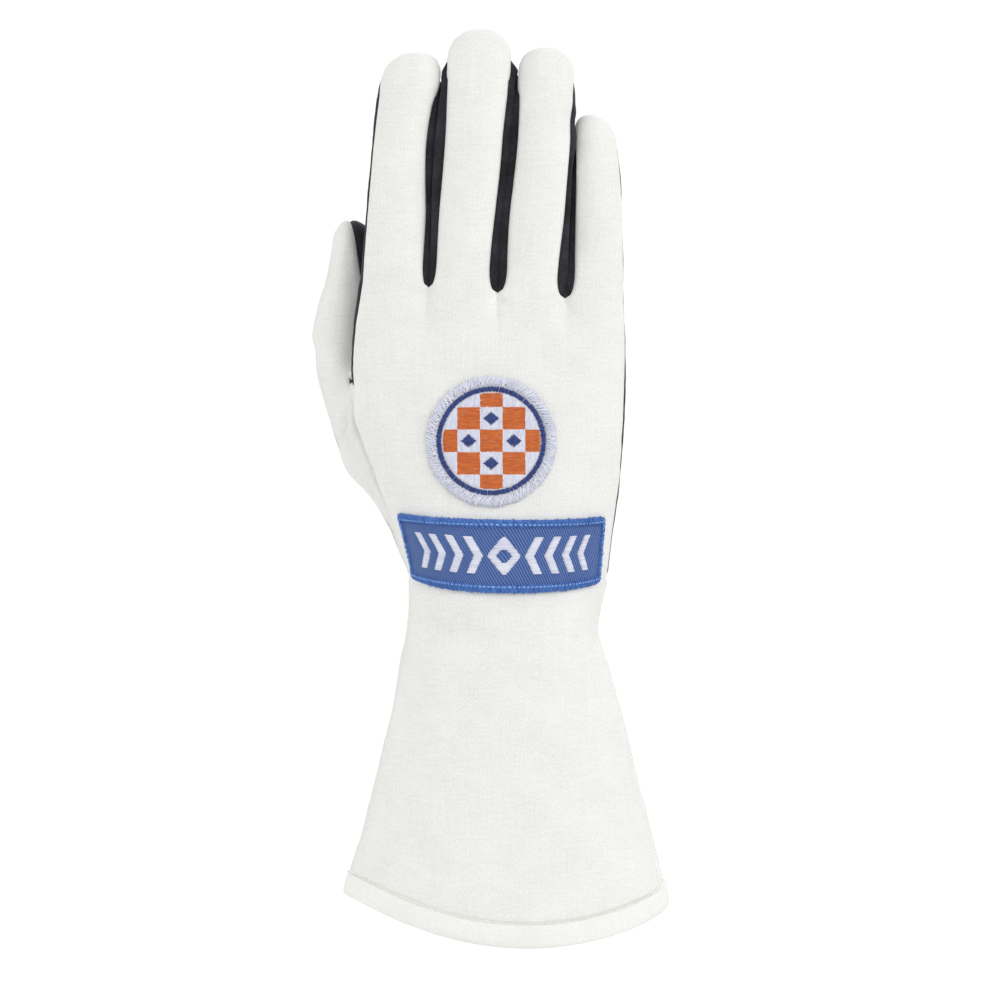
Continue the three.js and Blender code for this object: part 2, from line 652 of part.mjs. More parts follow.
// Each column of the thumb starts at a point of the hand and leaves it in a direction of its own for
// a share of its length. angle runs from the side that faces the index finger, over the back of the
// thumb, to the outside and on round.
const LEAVE_CROTCH = new THREE.Vector3(-0.32, 0.93, 0.1).normalize();
const LEAVE_FRONT = new THREE.Vector3(-0.8, 0.45, 0.4).normalize();
const LEAVE_REAR = new THREE.Vector3(-0.5, 0.8, 0.35).normalize();
const LEAVE_LOW = new THREE.Vector3(-0.27, 0.22, 0.94).normalize();
const CROTCH_PULL = 0.45;
const PULL = 0.28;
const CROTCH_ANGLES = [2, 30, 56];
const FRONT_ANGLES = [78, 98, 116, 136, 158];
const REAR_ANGLES = [205, 230, 256, 288, 326];
const thumbColumn = (from, angle, leave, pull) => ({ from, angle, leave, pull });
const THUMB_COLUMNS = [
  ...CROTCH_ANGLES.map((angle, k) =>
    thumbColumn(crotchEdge(SIDE_COLUMNS - k), angle, LEAVE_CROTCH, CROTCH_PULL),
  ),
  ...FRONT_ANGLES.map((angle, k) =>
    thumbColumn(frontEdge(THUMB_TOP_ROW - 1 - k), angle, LEAVE_FRONT, PULL),
  ),
  thumbColumn(frontEdge(PALM_FIRST_ROW), 180, LEAVE_LOW, PULL),
  ...REAR_ANGLES.map((angle, k) =>
    thumbColumn(palmEdge(PALM_FIRST_ROW + 1 + k), angle, LEAVE_REAR, PULL),
  ),
];
const FRONT_BORDER = 3;
const REAR_BORDER = 10;
const holeTop = crotchEdge(0);
const holeBottom = frontEdge(PALM_FIRST_ROW);

function thumbTube(angle, along) {
  const turn = degToRad(angle);
  const side = Math.cos(turn);
  const reach = thumbWidth * (side < 0 ? thumbOuter(along) : thumbInner(along));
  const half = (thumbDepth / 2) * thumbDepthShare(along);
  const dome = along > THUMB_DOME ? quarterRound((1 - along) / (1 - THUMB_DOME)) : 1;
  const from = thumbRoot.clone().addScaledVector(thumbTipShift, along);
  const ring = new THREE.Vector3(side * reach * dome, -Math.sin(turn) * half * dome, 0);
  return from.add(ring).setZ(from.z + along * thumbLength);
}

// From the hole to the tube a column follows a curve that leaves the hand's side and ends up the tube.
// Columns that start low on the hole leave it upwards, along the side of the hand.
const ARRIVE = new THREE.Vector3(0, 0.05, 1).normalize();
const ARRIVE_PULL = 0.36;
const LOW_SHARE = 0.75;
function thumbBasePoint(column, share) {
  const end = thumbTube(column.angle, 0);
  const span = column.from.distanceTo(end);
  const low = 1 - smoothstep(column.from.z, holeBottom.z, lerp(holeBottom.z, holeTop.z, LOW_SHARE));
  const leave = column.leave.clone().lerp(LEAVE_LOW, low).normalize();
  const curve = new THREE.CubicBezierCurve3(
    column.from,
    column.from.clone().addScaledVector(leave, span * column.pull),
    end.clone().addScaledVector(ARRIVE, -span * ARRIVE_PULL),
    end,
  );
  const point = curve.getPoint(share);
  const outside = Math.max(-Math.cos(degToRad(column.angle)), 0) * Math.sin(share * Math.PI);
  point.x -= thumbFold(point.z / palmLength) * thumbWidth * outside;
  return point;
}

const THUMB_BASE_ROWS = [0, 0.12, 0.25, 0.38, 0.5, 0.62, 0.74, 0.87];
const THUMB_ROWS = [0, 0.15, 0.34, 0.53, 0.68, THUMB_DOME, 0.9, 0.96, 0.993, 1];
function thumbGrid(columns) {
  return [
    ...THUMB_BASE_ROWS.map((u) => columns.map((c) => thumbBasePoint(c, u))),
    ...THUMB_ROWS.map((v) => columns.map((c) => thumbTube(c.angle, v))),
  ];
}
const thumbBack = new Sheet("thumb_back");
thumbBack.grid(thumbGrid(THUMB_COLUMNS.slice(FRONT_BORDER, REAR_BORDER + 1).reverse()));
const thumbFront = new Sheet("thumb_front");
const suedeColumns = [...THUMB_COLUMNS.slice(REAR_BORDER), ...THUMB_COLUMNS.slice(0, FRONT_BORDER + 1)];
thumbFront.grid(thumbGrid(suedeColumns.reverse()));

const skins = [back, palm, ...fourchettes, thumbBack, thumbFront, rearCuff];

// Directions out of the shared skin: each point adds up the faces round it, in whatever panel
function skinNormals(sheets) {
  const normals = new Map();
  const a = new THREE.Vector3();
  const b = new THREE.Vector3();
  for (const sheet of sheets) {
    for (const face of sheet.faces) {
      const [p, q, r] = face.map((id) => sheet.points[id]);
      const normal = a.subVectors(q, p).cross(b.subVectors(r, p)).clone();
      for (const point of [p, q, r]) {
        const key = keyOf(point);
        if (!normals.has(key)) normals.set(key, new THREE.Vector3());
        normals.get(key).add(normal);
      }
    }
  }
  for (const normal of normals.values()) normal.normalize();
  return normals;
}

// The open edges of a sheet, each as [from, to] in the order of its face
function openEdges(faces) {
  const seen = new Map();
  for (const [a, b, c] of faces) {
    for (const [from, to] of [[a, b], [b, c], [c, a]]) seen.set(`${from},${to}`, [from, to]);
  }
  return [...seen.values()].filter(([from, to]) => !seen.has(`${to},${from}`));
}

// Turns a sheet into a solid: its open edges step back from the seam by half the gap, and a wall
// grows inwards along the skin's directions. The inner edge steps back further, because a seam that
// runs round a corner brings the inner edges closer together.
const UNDERCUT = 2.5;
const SHARPEST_STEP = 0.35;
function thicken(sheet, normals, thickness) {
  const edges = openEdges(sheet.faces);
  const inward = new Map();
  for (const [from, to] of edges) {
    const p = sheet.points[from];
    const q = sheet.points[to];
    const normal = normals.get(keyOf(p)).clone().add(normals.get(keyOf(q)));
    const step = normal.cross(q.clone().sub(p)).normalize();
    for (const id of [from, to]) {
      if (!inward.has(id)) inward.set(id, []);
      inward.get(id).push(step);
    }
  }
  const outer = sheet.points.map((p, id) => {
    if (!inward.has(id)) return p.clone();
    const [first, second] = inward.get(id);
    const bisector = first.clone().add(second ?? first).normalize();
    const reach = seamGap / 2 / Math.max(bisector.dot(first), SHARPEST_STEP);
    return p.clone().addScaledVector(bisector, reach);
  });
  const inner = outer.map((p, id) => {
    const at = sheet.points[id];
    const undercut = p.clone().sub(at).multiplyScalar(UNDERCUT);
    return p.clone().add(undercut).addScaledVector(normals.get(keyOf(at)), -thickness);
  });
  const count = outer.length;
  const triangles = [
    ...sheet.faces,
    ...sheet.faces.map(([a, b, c]) => [c + count, b + count, a + count]),
    ...edges.flatMap(([from, to]) => [
      [to, from, from + count],
      [to, from + count, to + count],
    ]),
  ];
  return geometryOf([...outer, ...inner], triangles);
}

function geometryOf(points, triangles) {
  const geometry = new THREE.BufferGeometry();
  const places = points.flatMap((p) => p.toArray());
  geometry.setAttribute("position", new THREE.Float32BufferAttribute(places, 3));
  geometry.setIndex(triangles.flat());
  geometry.computeVertexNormals();
  return geometry;
}

// A closed ring of sections: rings[k] holds the points of one section, and the last joins the first
function ringGeometry(rings) {
  const size = rings[0].length;
  const triangles = rings.flatMap((_, k) => {
    const here = k * size;
    const next = ((k + 1) % rings.length) * size;
    return Array.from({ length: size }, (__, c) => {
      const d = (c + 1) % size;
      return [
        [here + c, next + c, next + d],
        [here + c, next + d, here + d],
      ];
    }).flat();
  });
  return geometryOf(rings.flat(), triangles);
}

// The hem: a padded band below the cuff, square with soft corners
const HEM_SECTION = [
  { down: 0, out: -0.32 },
  { down: 0, out: 0.32 },
  { down: 0.16, out: 0.45 },
  { down: 0.75, out: 0.36 },
  { down: 1, out: -0.14 },
  { down: 0.75, out: -0.55 },
  { down: 0.16, out: -0.5 },
];
const PROBE_ANGLE = 0.01;
const PROBE_ALONG = 0.97;
const PROBE_HEIGHT = 6;
function hemRing(angle) {
  const edge = cuffPoint(angle, 1);
  const down = edge.clone().sub(cuffPoint(angle, PROBE_ALONG)).normalize();
  const beside = cuffPoint(angle + PROBE_ANGLE, 1).sub(cuffPoint(angle - PROBE_ANGLE, 1));
  const out = down.clone().cross(beside).normalize();
  const middle = edge.clone().addScaledVector(out, -wallThickness / 2);
  return HEM_SECTION.map((place) =>
    middle
      .clone()
      .addScaledVector(down, seamGap + place.down * hemHeight)
      .addScaledVector(out, place.out * hemThickness),
  );
}
const hemAngles = [
  ...frontColumns.map((column) => column.angle),
  ...lowColumns.slice(1, -1).map((column) => lowAngle(column, 0)),
];
const hemGeometry = ringGeometry(hemAngles.map(hemRing).reverse());

// A point of the back of the hand between two rows of the sheet, on the straight line that joins them
function facetPoint(angle, z) {
  const webZ = webHeight(sectionPoint(angle, knuckleSection).x);
  const along = clamp(z / webZ, 0, 1);
  let row = 0;
  while (row < HAND_ROWS.length - 2 && along > HAND_ROWS[row + 1]) row += 1;
  const low = sectionPoint(angle, handSection(HAND_ROWS[row]));
  const high = sectionPoint(angle, handSection(HAND_ROWS[row + 1]));
  const share = (along - HAND_ROWS[row]) / (HAND_ROWS[row + 1] - HAND_ROWS[row]);
  return new THREE.Vector3(lerp(low.x, high.x, share), lerp(low.y, high.y, share), z);
}

// A point over the back of the hand, lifted off it by a distance in millimetres
function liftedPoint(angle, z, lift) {
  const across = facetPoint(angle + PROBE_ANGLE, z).sub(facetPoint(angle - PROBE_ANGLE, z));
  const up = facetPoint(angle, z + PROBE_HEIGHT).sub(facetPoint(angle, z - PROBE_HEIGHT));
  return facetPoint(angle, z).addScaledVector(across.cross(up).normalize(), lift);
}

// A patch is a plate whose outline is given by place(u, v): u runs once round, v from the middle to
// the rim. Its border is a rounded cord of stitches round the plate.
function plateGeometry(place, around, steps) {
  const top = new Sheet("plate");
  const ring = (v) => Array.from({ length: around + 1 }, (_, k) => place((k % around) / around, v));
  const rows = steps.map(ring);
  const lift = (row, height) => row.map((at) => liftedPoint(at.angle, at.z, height));
  top.grid(rows.map((row) => lift(row, patchClearance + patchThickness)));
  const rim = rows[rows.length - 1];
  const lower = new Sheet("plate_underside");
  lower.grid(rows.map((row) => lift(row, patchClearance)).reverse());
  const skin = new Sheet("plate_skin");
  for (const part of [top, lower]) {
    for (const face of part.faces) skin.face(...face.map((id) => skin.point(part.points[id])));
  }
  skin.grid([lift(rim, patchClearance + patchThickness), lift(rim, patchClearance)]);
  return geometryOf(skin.points, skin.faces);
}

const BORDER_SECTION = [
  { across: 0, up: 0 },
  { across: 0, up: 0.55 },
  { across: 0.28, up: 1 },
  { across: 0.72, up: 1 },
  { across: 1, up: 0.55 },
  { across: 1, up: 0 },
];
function borderGeometry(place, turns) {
  const rings = turns.map((u) =>
    BORDER_SECTION.map((at) => {
      const spot = place(u, at.across);
      return liftedPoint(spot.angle, spot.z, lerp(patchClearance, patchBorderHeight, at.up));
    }),
  );
  return ringGeometry(rings);
}
const evenly = (count) => Array.from({ length: count }, (_, k) => k / count);

// Round patch
function roundPlace(u, radius) {
  const turn = u * 2 * Math.PI;
  const x = roundPatchOffset + Math.sin(turn) * radius;
  const z = roundPatchHeight * palmLength + Math.cos(turn) * radius;
  return { angle: sectionAngle(x, handSection(z / webHeight(x))), z };
}
const roundGroundRadius = roundPatchRadius - patchBorderWidth - seamGap;
const roundBorderInside = roundGroundRadius + seamGap;
const roundGround = plateGeometry((u, v) => roundPlace(u, v * roundGroundRadius), 24, [0, 0.4, 0.75, 1]);
const roundBorder = borderGeometry(
  (u, v) => roundPlace(u, roundBorderInside + v * patchBorderWidth),
  evenly(32),
);

// Wrist patch: a band round the wrist whose edges sag in the middle
const wristLeft = lineOf(WRIST_PATCH, "left");
const wristRight = lineOf(WRIST_PATCH, "right");
const wristSag = lineOf(WRIST_PATCH, "sag");
function wristPlace(across, down) {
  const angle = degToRad(across * (across < 0 ? wristLeft(down) : wristRight(down)));
  const sag = wristSag(down) * (1 - across ** 2);
  const level = wristPatchBottom + wristPatchHeight * (1 - down - sag);
  return { angle, z: level - wristPatchTilt * across };
}
// Runs once round a rectangle that is inset from the patch's outline by a distance in millimetres. The
// patch's half length round the wrist is somewhat more than the wrist's half width.
const WRIST_ROUND = 1.31;
const wristInsetShares = (inset) => ({
  half: 1 - inset / ((wristWidth / 2) * WRIST_ROUND),
  edge: inset / (wristPatchHeight * (1 + wristSag(1) - wristSag(0))),
});
function wristRim(u, inset) {
  const { half, edge } = wristInsetShares(inset);
  const side = (u * 4) % 4;
  const t = side % 1;
  const long = 1 - 2 * t;
  if (side < 1) return wristPlace(-half * long, edge);
  if (side < 2) return wristPlace(half, lerp(edge, 1 - edge, t));
  if (side < 3) return wristPlace(half * long, 1 - edge);
  return wristPlace(-half, lerp(1 - edge, edge, t));
}
function wristPlate() {
  const columns = 16;
  const rows = 4;
  const { half, edge } = wristInsetShares(patchBorderWidth + seamGap);
  const layer = (lift) =>
    Array.from({ length: rows + 1 }, (_, r) =>
      Array.from({ length: columns + 1 }, (__, c) => {
        const spot = wristPlace(lerp(-half, half, c / columns), lerp(1 - edge, edge, r / rows));
        return liftedPoint(spot.angle, spot.z, lift);
      }),
    );
  const upper = layer(patchClearance + patchThickness);
  const lower = layer(patchClearance);
  const skin = new Sheet("wrist_plate");
  skin.grid(upper);
  skin.grid([...lower].reverse());
  skin.grid([lower[0], upper[0]]);
  skin.grid([upper[rows], lower[rows]]);
  skin.grid([lower.map((row) => row[columns]), upper.map((row) => row[columns])]);
  skin.grid([upper.map((row) => row[0]), lower.map((row) => row[0])]);
  return geometryOf(skin.points, skin.faces);
}
const RIM_STEPS = [13, 3, 13, 3];
const rimTurns = RIM_STEPS.flatMap((count, side) => evenly(count).map((t) => (side + t) / 4));
const wristBorder = borderGeometry((u, v) => wristRim(u, (1 - v) * patchBorderWidth), rimTurns);

// Finishes and the finished group
const knit = { color: 0xeeece4, roughness: 0.9, metalness: 0 };
const suede = { color: 0x1c1c20, roughness: 0.95, metalness: 0 };
const orangeSatin = { color: 0xe0702a, roughness: 0.45, metalness: 0 };
const whiteThread = { color: 0xf0eff6, roughness: 0.6, metalness: 0 };
const blueTwill = { color: 0x3450a0, roughness: 0.7, metalness: 0 };
const blueThread = { color: 0x2a64d0, roughness: 0.5, metalness: 0 };

const glove = new THREE.Group();
function addPiece(name, geometry, finish) {
  const mesh = new THREE.Mesh(geometry, new THREE.MeshStandardMaterial(finish));
  mesh.name = name;
  glove.add(mesh);
}

const normals = skinNormals(skins);
const knitPanels = new Set([back, thumbBack, rearCuff]);
for (const sheet of skins) {
  addPiece(sheet.name, thicken(sheet, normals, wallThickness), knitPanels.has(sheet) ? knit : suede);
}
addPiece("hem", hemGeometry, knit);
addPiece("round_patch", roundGround, orangeSatin);
addPiece("round_patch_border", roundBorder, whiteThread);
addPiece("wrist_patch", wristPlate(), blueTwill);
addPiece("wrist_patch_border", wristBorder, blueThread);

export default glove;
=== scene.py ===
import math

import bpy
import numpy as np
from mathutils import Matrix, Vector, kdtree, noise


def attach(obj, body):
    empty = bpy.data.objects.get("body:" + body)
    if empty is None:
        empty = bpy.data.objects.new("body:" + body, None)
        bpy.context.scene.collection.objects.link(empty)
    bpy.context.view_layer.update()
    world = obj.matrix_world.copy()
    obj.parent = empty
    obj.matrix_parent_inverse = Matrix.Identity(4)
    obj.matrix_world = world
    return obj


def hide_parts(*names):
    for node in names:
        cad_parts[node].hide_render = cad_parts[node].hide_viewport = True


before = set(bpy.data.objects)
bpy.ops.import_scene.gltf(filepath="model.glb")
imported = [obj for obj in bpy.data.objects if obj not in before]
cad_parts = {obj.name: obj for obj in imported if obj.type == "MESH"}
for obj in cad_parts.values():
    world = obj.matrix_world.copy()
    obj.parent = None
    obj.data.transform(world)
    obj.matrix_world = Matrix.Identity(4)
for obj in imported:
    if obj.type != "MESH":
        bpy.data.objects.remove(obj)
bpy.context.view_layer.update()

MM = 0.001
RNG = np.random.default_rng(7)

# Hand, from the wrist to the web line where the fingers part
PALM_LENGTH = 112.4
WEB_SLOPE = -0.08
PALM_WEB_RISE = 5
WRIST_WIDTH = 68
WRIST_DEPTH = 46
THUMB_SIDE_REACH = 54.9
LITTLE_SIDE_REACH = 44.4
KNUCKLE_DEPTH = 28
SEAM_LEFT = math.radians(-84)
SEAM_RIGHT = math.radians(81)
KNUCKLE_SQUARENESS = 2.5
WRIST_SQUARENESS = 2.2
MOUTH_SQUARENESS = 2

# Cuff and hem
CUFF_SIDE_LENGTH = 97
CUFF_FRONT_LENGTH = 110.8
CUFF_TILT = 1.8
CUFF_MOUTH_WIDTH = 113.6
CUFF_MOUTH_DEPTH = 76
CUFF_TURN = math.radians(9)
HEM_HEIGHT = 8.6
HEM_THICKNESS = 2.9

# Fingers
FINGER_GAP = 0.6
SIDE_BULGE = 3
OUTER_SIDE_BULGE = {-1: -0.1, 1: -0.9}
TIP_SEAM = 80
WEB_ROUNDING = 9
TIP_BLEND = 4.5
SEAM_SETTLE = 0.3
OUTER_FALL = 0.27
ARCH_SPREAD = math.radians(62)
DOME_POWER = 2.35
DOME_BEFORE = 0.14
DOME_AFTER = 0.06

# Thumb
THUMB_LENGTH = 48.4
THUMB_WIDTH = 24
THUMB_DEPTH = 22
THUMB_TOP = 0.68
THUMB_FOOT = 0.09
THUMB_ROOT = np.array([-THUMB_SIDE_REACH - 2.5, 23, THUMB_TOP * PALM_LENGTH + 15.6])
THUMB_TIP_SHIFT = np.array([1, 2, 0])
THUMB_DOME = 0.82

# Patches on the back of the hand and round the wrist
ROUND_RADIUS = 23
ROUND_X = -4.5
ROUND_Z = 0.524 * PALM_LENGTH
WRIST_BOTTOM = 9.3
WRIST_HEIGHT = 23.6
WRIST_TILT = 0.7
WRIST_TOP = WRIST_BOTTOM + WRIST_HEIGHT
WRIST_HALF = WRIST_WIDTH / 2 * 1.31
BORDER_WIDTH = 2.6

# Cloth
WALL = 1.6
ROW_STEP = 1.1
TIP_DENSITY = 1.4
END_DENSITY = 2


def table(columns, *rows):
    return dict(zip(columns.split(), np.array(rows, float).T))


# Shares of the way from the wrist's half width and depth to the full reach and the knuckles'
HAND = table(
    "along left right front back",
    (0, 0, 0.1, 0, 0),
    (0.1, 0.03, 0.34, 0.08, 0),
    (0.25, 0.29, 0.55, 0.25, 0.04),
    (0.4, 0.62, 0.77, 0.42, 0.14),
    (0.55, 0.91, 0.9, 0.6, 0.32),
    (0.7, 1, 0.97, 0.77, 0.56),
    (0.85, 0.96, 1, 0.9, 0.8),
    (1, 0.84, 0.92, 1, 1),
)
CUFF = table(
    "along left right depth",
    (0, 0, 0.044, 0),
    (0.1, 0.03, 0, 0.01),
    (0.2, 0.12, 0.13, 0.11),
    (0.4, 0.29, 0.39, 0.34),
    (0.6, 0.495, 0.59, 0.55),
    (0.8, 0.69, 0.81, 0.77),
    (1, 0.94, 1.03, 1),
)
# Edges of the white knit either side of a finger's axis, as shares of its width
OUTLINES = [
    table(
        "along left right",
        (0, 0.571, 0.47), (0.15, 0.59, 0.449), (0.3, 0.602, 0.425), (0.45, 0.612, 0.358),
        (0.6, 0.617, 0.315), (0.75, 0.611, 0.345), (0.841, 0.599, 0.421), (1, 0.57, 0.45),
    ),
    table(
        "along left right",
        (0, 0.485, 0.436), (0.15, 0.495, 0.44), (0.3, 0.5, 0.47), (0.45, 0.485, 0.503),
        (0.6, 0.48, 0.515), (0.75, 0.499, 0.545), (0.865, 0.52, 0.554), (1, 0.52, 0.55),
    ),
    table(
        "along left right",
        (0, 0.455, 0.455), (0.15, 0.479, 0.483), (0.3, 0.478, 0.528), (0.45, 0.439, 0.552),
        (0.6, 0.402, 0.576), (0.75, 0.404, 0.59), (0.86, 0.438, 0.563), (1, 0.46, 0.54),
    ),
    table(
        "along left right",
        (0, 0.445, 0.595), (0.15, 0.421, 0.609), (0.3, 0.397, 0.62), (0.45, 0.369, 0.627),
        (0.6, 0.34, 0.622), (0.75, 0.32, 0.599), (0.808, 0.315, 0.575), (1, 0.36, 0.5),
    ),
]
# Depth and bend of a finger seen from its side, and the fall of its back from its crest to its seams
FINGER_SIDE = table(
    "along depth curl fall",
    (0, 1, 0, 0.14),
    (0.12, 0.985, 0.02, 0.2),
    (0.25, 0.97, 0.08, 0.26),
    (0.5, 0.96, 0.3, 0.27),
    (0.75, 0.92, 0.65, 0.27),
    (1, 0.84, 1, 0.27),
)
# How far the knit reaches round a fingertip: 1 is the palm's seam, 1.5 where both sides meet
TIP_SEAMS = table("along knit", (0, 0), (0.8, 0), (0.865, 0.3), (0.93, 1), (0.985, 1.5), (1, 1.5))
TIP_START = 0.8
FOURCHETTE_END = 0.93
KNIT_CLOSES = 0.985
THUMB = table(
    "along outer inner depth",
    (0, 0.48, 0.48, 1.04),
    (0.12, 0.53, 0.47, 1),
    (0.34, 0.455, 0.455, 0.98),
    (0.53, 0.345, 0.425, 0.97),
    (0.68, 0.298, 0.415, 0.96),
    (0.82, 0.262, 0.395, 0.92),
    (1, 0.25, 0.36, 0.9),
)
THUMB_HOLE = table(
    "along open",
    (0, 0), (0.09, 0), (0.2, 26), (0.3, 44), (0.4, 53), (0.5, 53), (0.59, 44), (0.68, 30),
)
THUMB_FOLD = table(
    "along out",
    (0.178, 0), (0.302, -0.035), (0.356, 0), (0.427, 0.1), (0.516, 0.035), (0.64, -0.03),
    (0.765, 0),
)
WRIST_PATCH = table("along left right sag", (0, 62.5, 59.5, 0.08), (1, 67, 62, 0.185))


def curve(rows, key):
    """A column of a table as a smooth curve through its rows."""
    x, y = rows["along"], rows[key]
    last = len(x) - 1
    before, after = np.maximum(np.arange(last + 1) - 1, 0), np.minimum(np.arange(last + 1) + 1, last)
    slope = (y[after] - y[before]) / (x[after] - x[before])

    def read(at):
        t = np.clip(at, x[0], x[last])
        i = np.clip(np.searchsorted(x, t, side="left") - 1, 0, last - 1)
        step, rise = x[i + 1] - x[i], y[i + 1] - y[i]
        u = (t - x[i]) / step
        bend = (slope[i] * step - rise) * (1 - u) + (rise - slope[i + 1] * step) * u
        return y[i] + rise * u + u * (1 - u) * bend

    return read


def line(rows, key):
    return lambda at: np.interp(at, rows["along"], rows[key])


def lerp(a, b, t):
    return a + (b - a) * t


def smoothstep(x, low, high):
    t = np.clip((x - low) / (high - low), 0, 1)
    return t * t * (3 - 2 * t)


def signed_power(value, power):
    return np.sign(value) * np.abs(value) ** power


def quarter_round(share, power=2):
    return (1 - (1 - np.clip(share, 0, 1)) ** power) ** (1 / power)


def unit(vectors):
    return vectors / np.maximum(np.linalg.norm(vectors, axis=-1, keepdims=True), 1e-12)


def points(x, y, z):
    return np.stack(np.broadcast_arrays(x, y, z), -1).astype(float)


def steps(start, end, count):
    return np.linspace(start, end, count + 1)


def bell(x, width):
    return np.exp(-((x / width) ** 2))


def run_length(spots, axis=0):
    """Distance along each line of points from its first point."""
    each = np.linalg.norm(np.diff(spots, axis=axis), axis=-1)
    return np.concatenate([np.zeros_like(np.take(each, [0], axis)), np.cumsum(each, axis)], axis)


def curves(rows):
    return {key: curve(rows, key) for key in rows if key != "along"}


hand_curves, cuff_curves, side_curves, thumb_curves = map(curves, (HAND, CUFF, FINGER_SIDE, THUMB))
hole_opening = curve(THUMB_HOLE, "open")
thumb_fold = curve(THUMB_FOLD, "out")
knit_reach = line(TIP_SEAMS, "knit")


# Sections of the hand and the cuff. An angle is measured from the middle of the back of the hand,
# positive towards the little finger.
def section_point(angle, section):
    across, ahead = np.sin(angle), np.cos(angle)
    reach = np.where(across < 0, section["left"], section["right"])
    depth = np.where(ahead > 0, section["front"], section["back"])
    power = 2 / section["squareness"]
    return signed_power(across, power) * reach, -signed_power(ahead, power) * depth


def section_angle(x, section):
    share = x / np.where(x < 0, section["left"], section["right"])
    return np.arcsin(signed_power(np.clip(share, -1, 1), section["squareness"] / 2))


def hand_section(along):
    half = WRIST_WIDTH / 2
    return {
        "left": lerp(half, THUMB_SIDE_REACH, hand_curves["left"](along)),
        "right": lerp(half, LITTLE_SIDE_REACH, hand_curves["right"](along)),
        "front": lerp(WRIST_DEPTH, KNUCKLE_DEPTH, hand_curves["front"](along)) / 2,
        "back": lerp(WRIST_DEPTH, KNUCKLE_DEPTH, hand_curves["back"](along)) / 2,
        "squareness": lerp(WRIST_SQUARENESS, KNUCKLE_SQUARENESS, along),
    }


def cuff_point(angle, along):
    depth = lerp(WRIST_DEPTH, CUFF_MOUTH_DEPTH, cuff_curves["depth"](along)) / 2
    section = {
        "left": lerp(WRIST_WIDTH, CUFF_MOUTH_WIDTH, cuff_curves["left"](along)) / 2,
        "right": lerp(WRIST_WIDTH, CUFF_MOUTH_WIDTH, cuff_curves["right"](along)) / 2,
        "front": depth,
        "back": depth,
        "squareness": lerp(WRIST_SQUARENESS, MOUTH_SQUARENESS, along),
    }
    x, y = section_point(angle, section)
    side = CUFF_SIDE_LENGTH + CUFF_TILT * np.sin(angle)
    length = lerp(side, CUFF_FRONT_LENGTH, np.cos(angle - CUFF_TURN) ** 2)
    return points(x, y, -along * length)


def web_height(x):
    return PALM_LENGTH + WEB_SLOPE * x


KNUCKLES = hand_section(1.0)


class Finger:
    """A finger that stands at a share of the way across the knuckles and leans to the right."""

    def __init__(self, index, root, width, depth, length, lean, dome, curl):
        self.index, self.width, self.depth, self.length = index, width, depth, length
        self.dome, self.curl = dome, curl
        self.left_share = curve(OUTLINES[index], "left")
        self.right_share = curve(OUTLINES[index], "right")
        self.root_x = lerp(-KNUCKLES["left"], KNUCKLES["right"], root)
        self.root_z = web_height(self.root_x)
        self.tip_z = self.root_z + length
        self.tip_x = self.root_x + length * math.tan(math.radians(lean))
        reach = KNUCKLES["left"] if self.root_x < 0 else KNUCKLES["right"]
        across = abs(self.root_x) / reach
        crest = (1 - across**KNUCKLE_SQUARENESS) ** (1 / KNUCKLE_SQUARENESS)
        self.top_y = -KNUCKLES["front"] * crest

    def outline(self, height):
        """The axis and both edges of the knit, in X."""
        along = np.clip((height - self.root_z) / self.length, 0, 1)
        axis = lerp(self.root_x, self.tip_x, along)
        return {
            "axis": axis,
            "left": axis - self.left_share(along) * self.width,
            "right": axis + self.right_share(along) * self.width,
        }

    def levels(self, along, fall):
        """Depths of a cross-section in Y: its crest, its palm side and the two seams between them."""
        depth = self.depth * side_curves["depth"](along)
        top = self.top_y + self.curl * side_curves["curl"](along) + (self.depth - depth) / 2
        return {
            "top": top,
            "bottom": top + depth,
            "knit": top + depth * fall,
            "palm": top + depth * (1 - fall),
        }


FINGERS = [
    Finger(0, root=0.131, width=21.5, depth=20.4, length=84.4, lean=5.6, dome=0.841, curl=5),
    Finger(1, root=0.389, width=21.8, depth=21.4, length=94.2, lean=3.64, dome=0.865, curl=7),
    Finger(2, root=0.645, width=20.5, depth=20.8, length=89.9, lean=2.95, dome=0.86, curl=7),
    Finger(3, root=0.887, width=18, depth=18.4, length=67.2, lean=-1.92, dome=0.808, curl=5),
]
FINGER_NAMES = ("index", "middle", "ring", "little")
LAST = len(FINGERS) - 1


def gap_at(i, height):
    """The middle and half width of the gap between finger i and the next, and how far both reach up."""
    near, far = FINGERS[i].outline(height), FINGERS[i + 1].outline(height)
    shorter = min(FINGERS[i].tip_z, FINGERS[i + 1].tip_z)
    return {
        "middle": (near["right"] + far["left"]) / 2,
        "half": np.maximum((far["left"] - near["right"]) / 2, FINGER_GAP),
        "shared": 1 - smoothstep(height, shorter - TIP_BLEND, shorter + TIP_BLEND),
    }


def seam_levels(i, side, along):
    """Levels of a finger's two seams on one side. At the web both neighbours share one level."""
    following = i + side
    if not 0 <= following <= LAST:
        levels = FINGERS[i].levels(along, OUTER_FALL)
        return levels["knit"], levels["palm"]
    root_fall = side_curves["fall"](0)
    own = FINGERS[i].levels(along, side_curves["fall"](along))
    root_own, root_next = FINGERS[i].levels(0, root_fall), FINGERS[following].levels(0, root_fall)
    settle = 1 - smoothstep(along, 0, SEAM_SETTLE)
    knit = own["knit"] + settle * (root_next["knit"] - root_own["knit"]) / 2
    return knit, own["palm"] + settle * (root_next["palm"] - root_own["palm"]) / 2


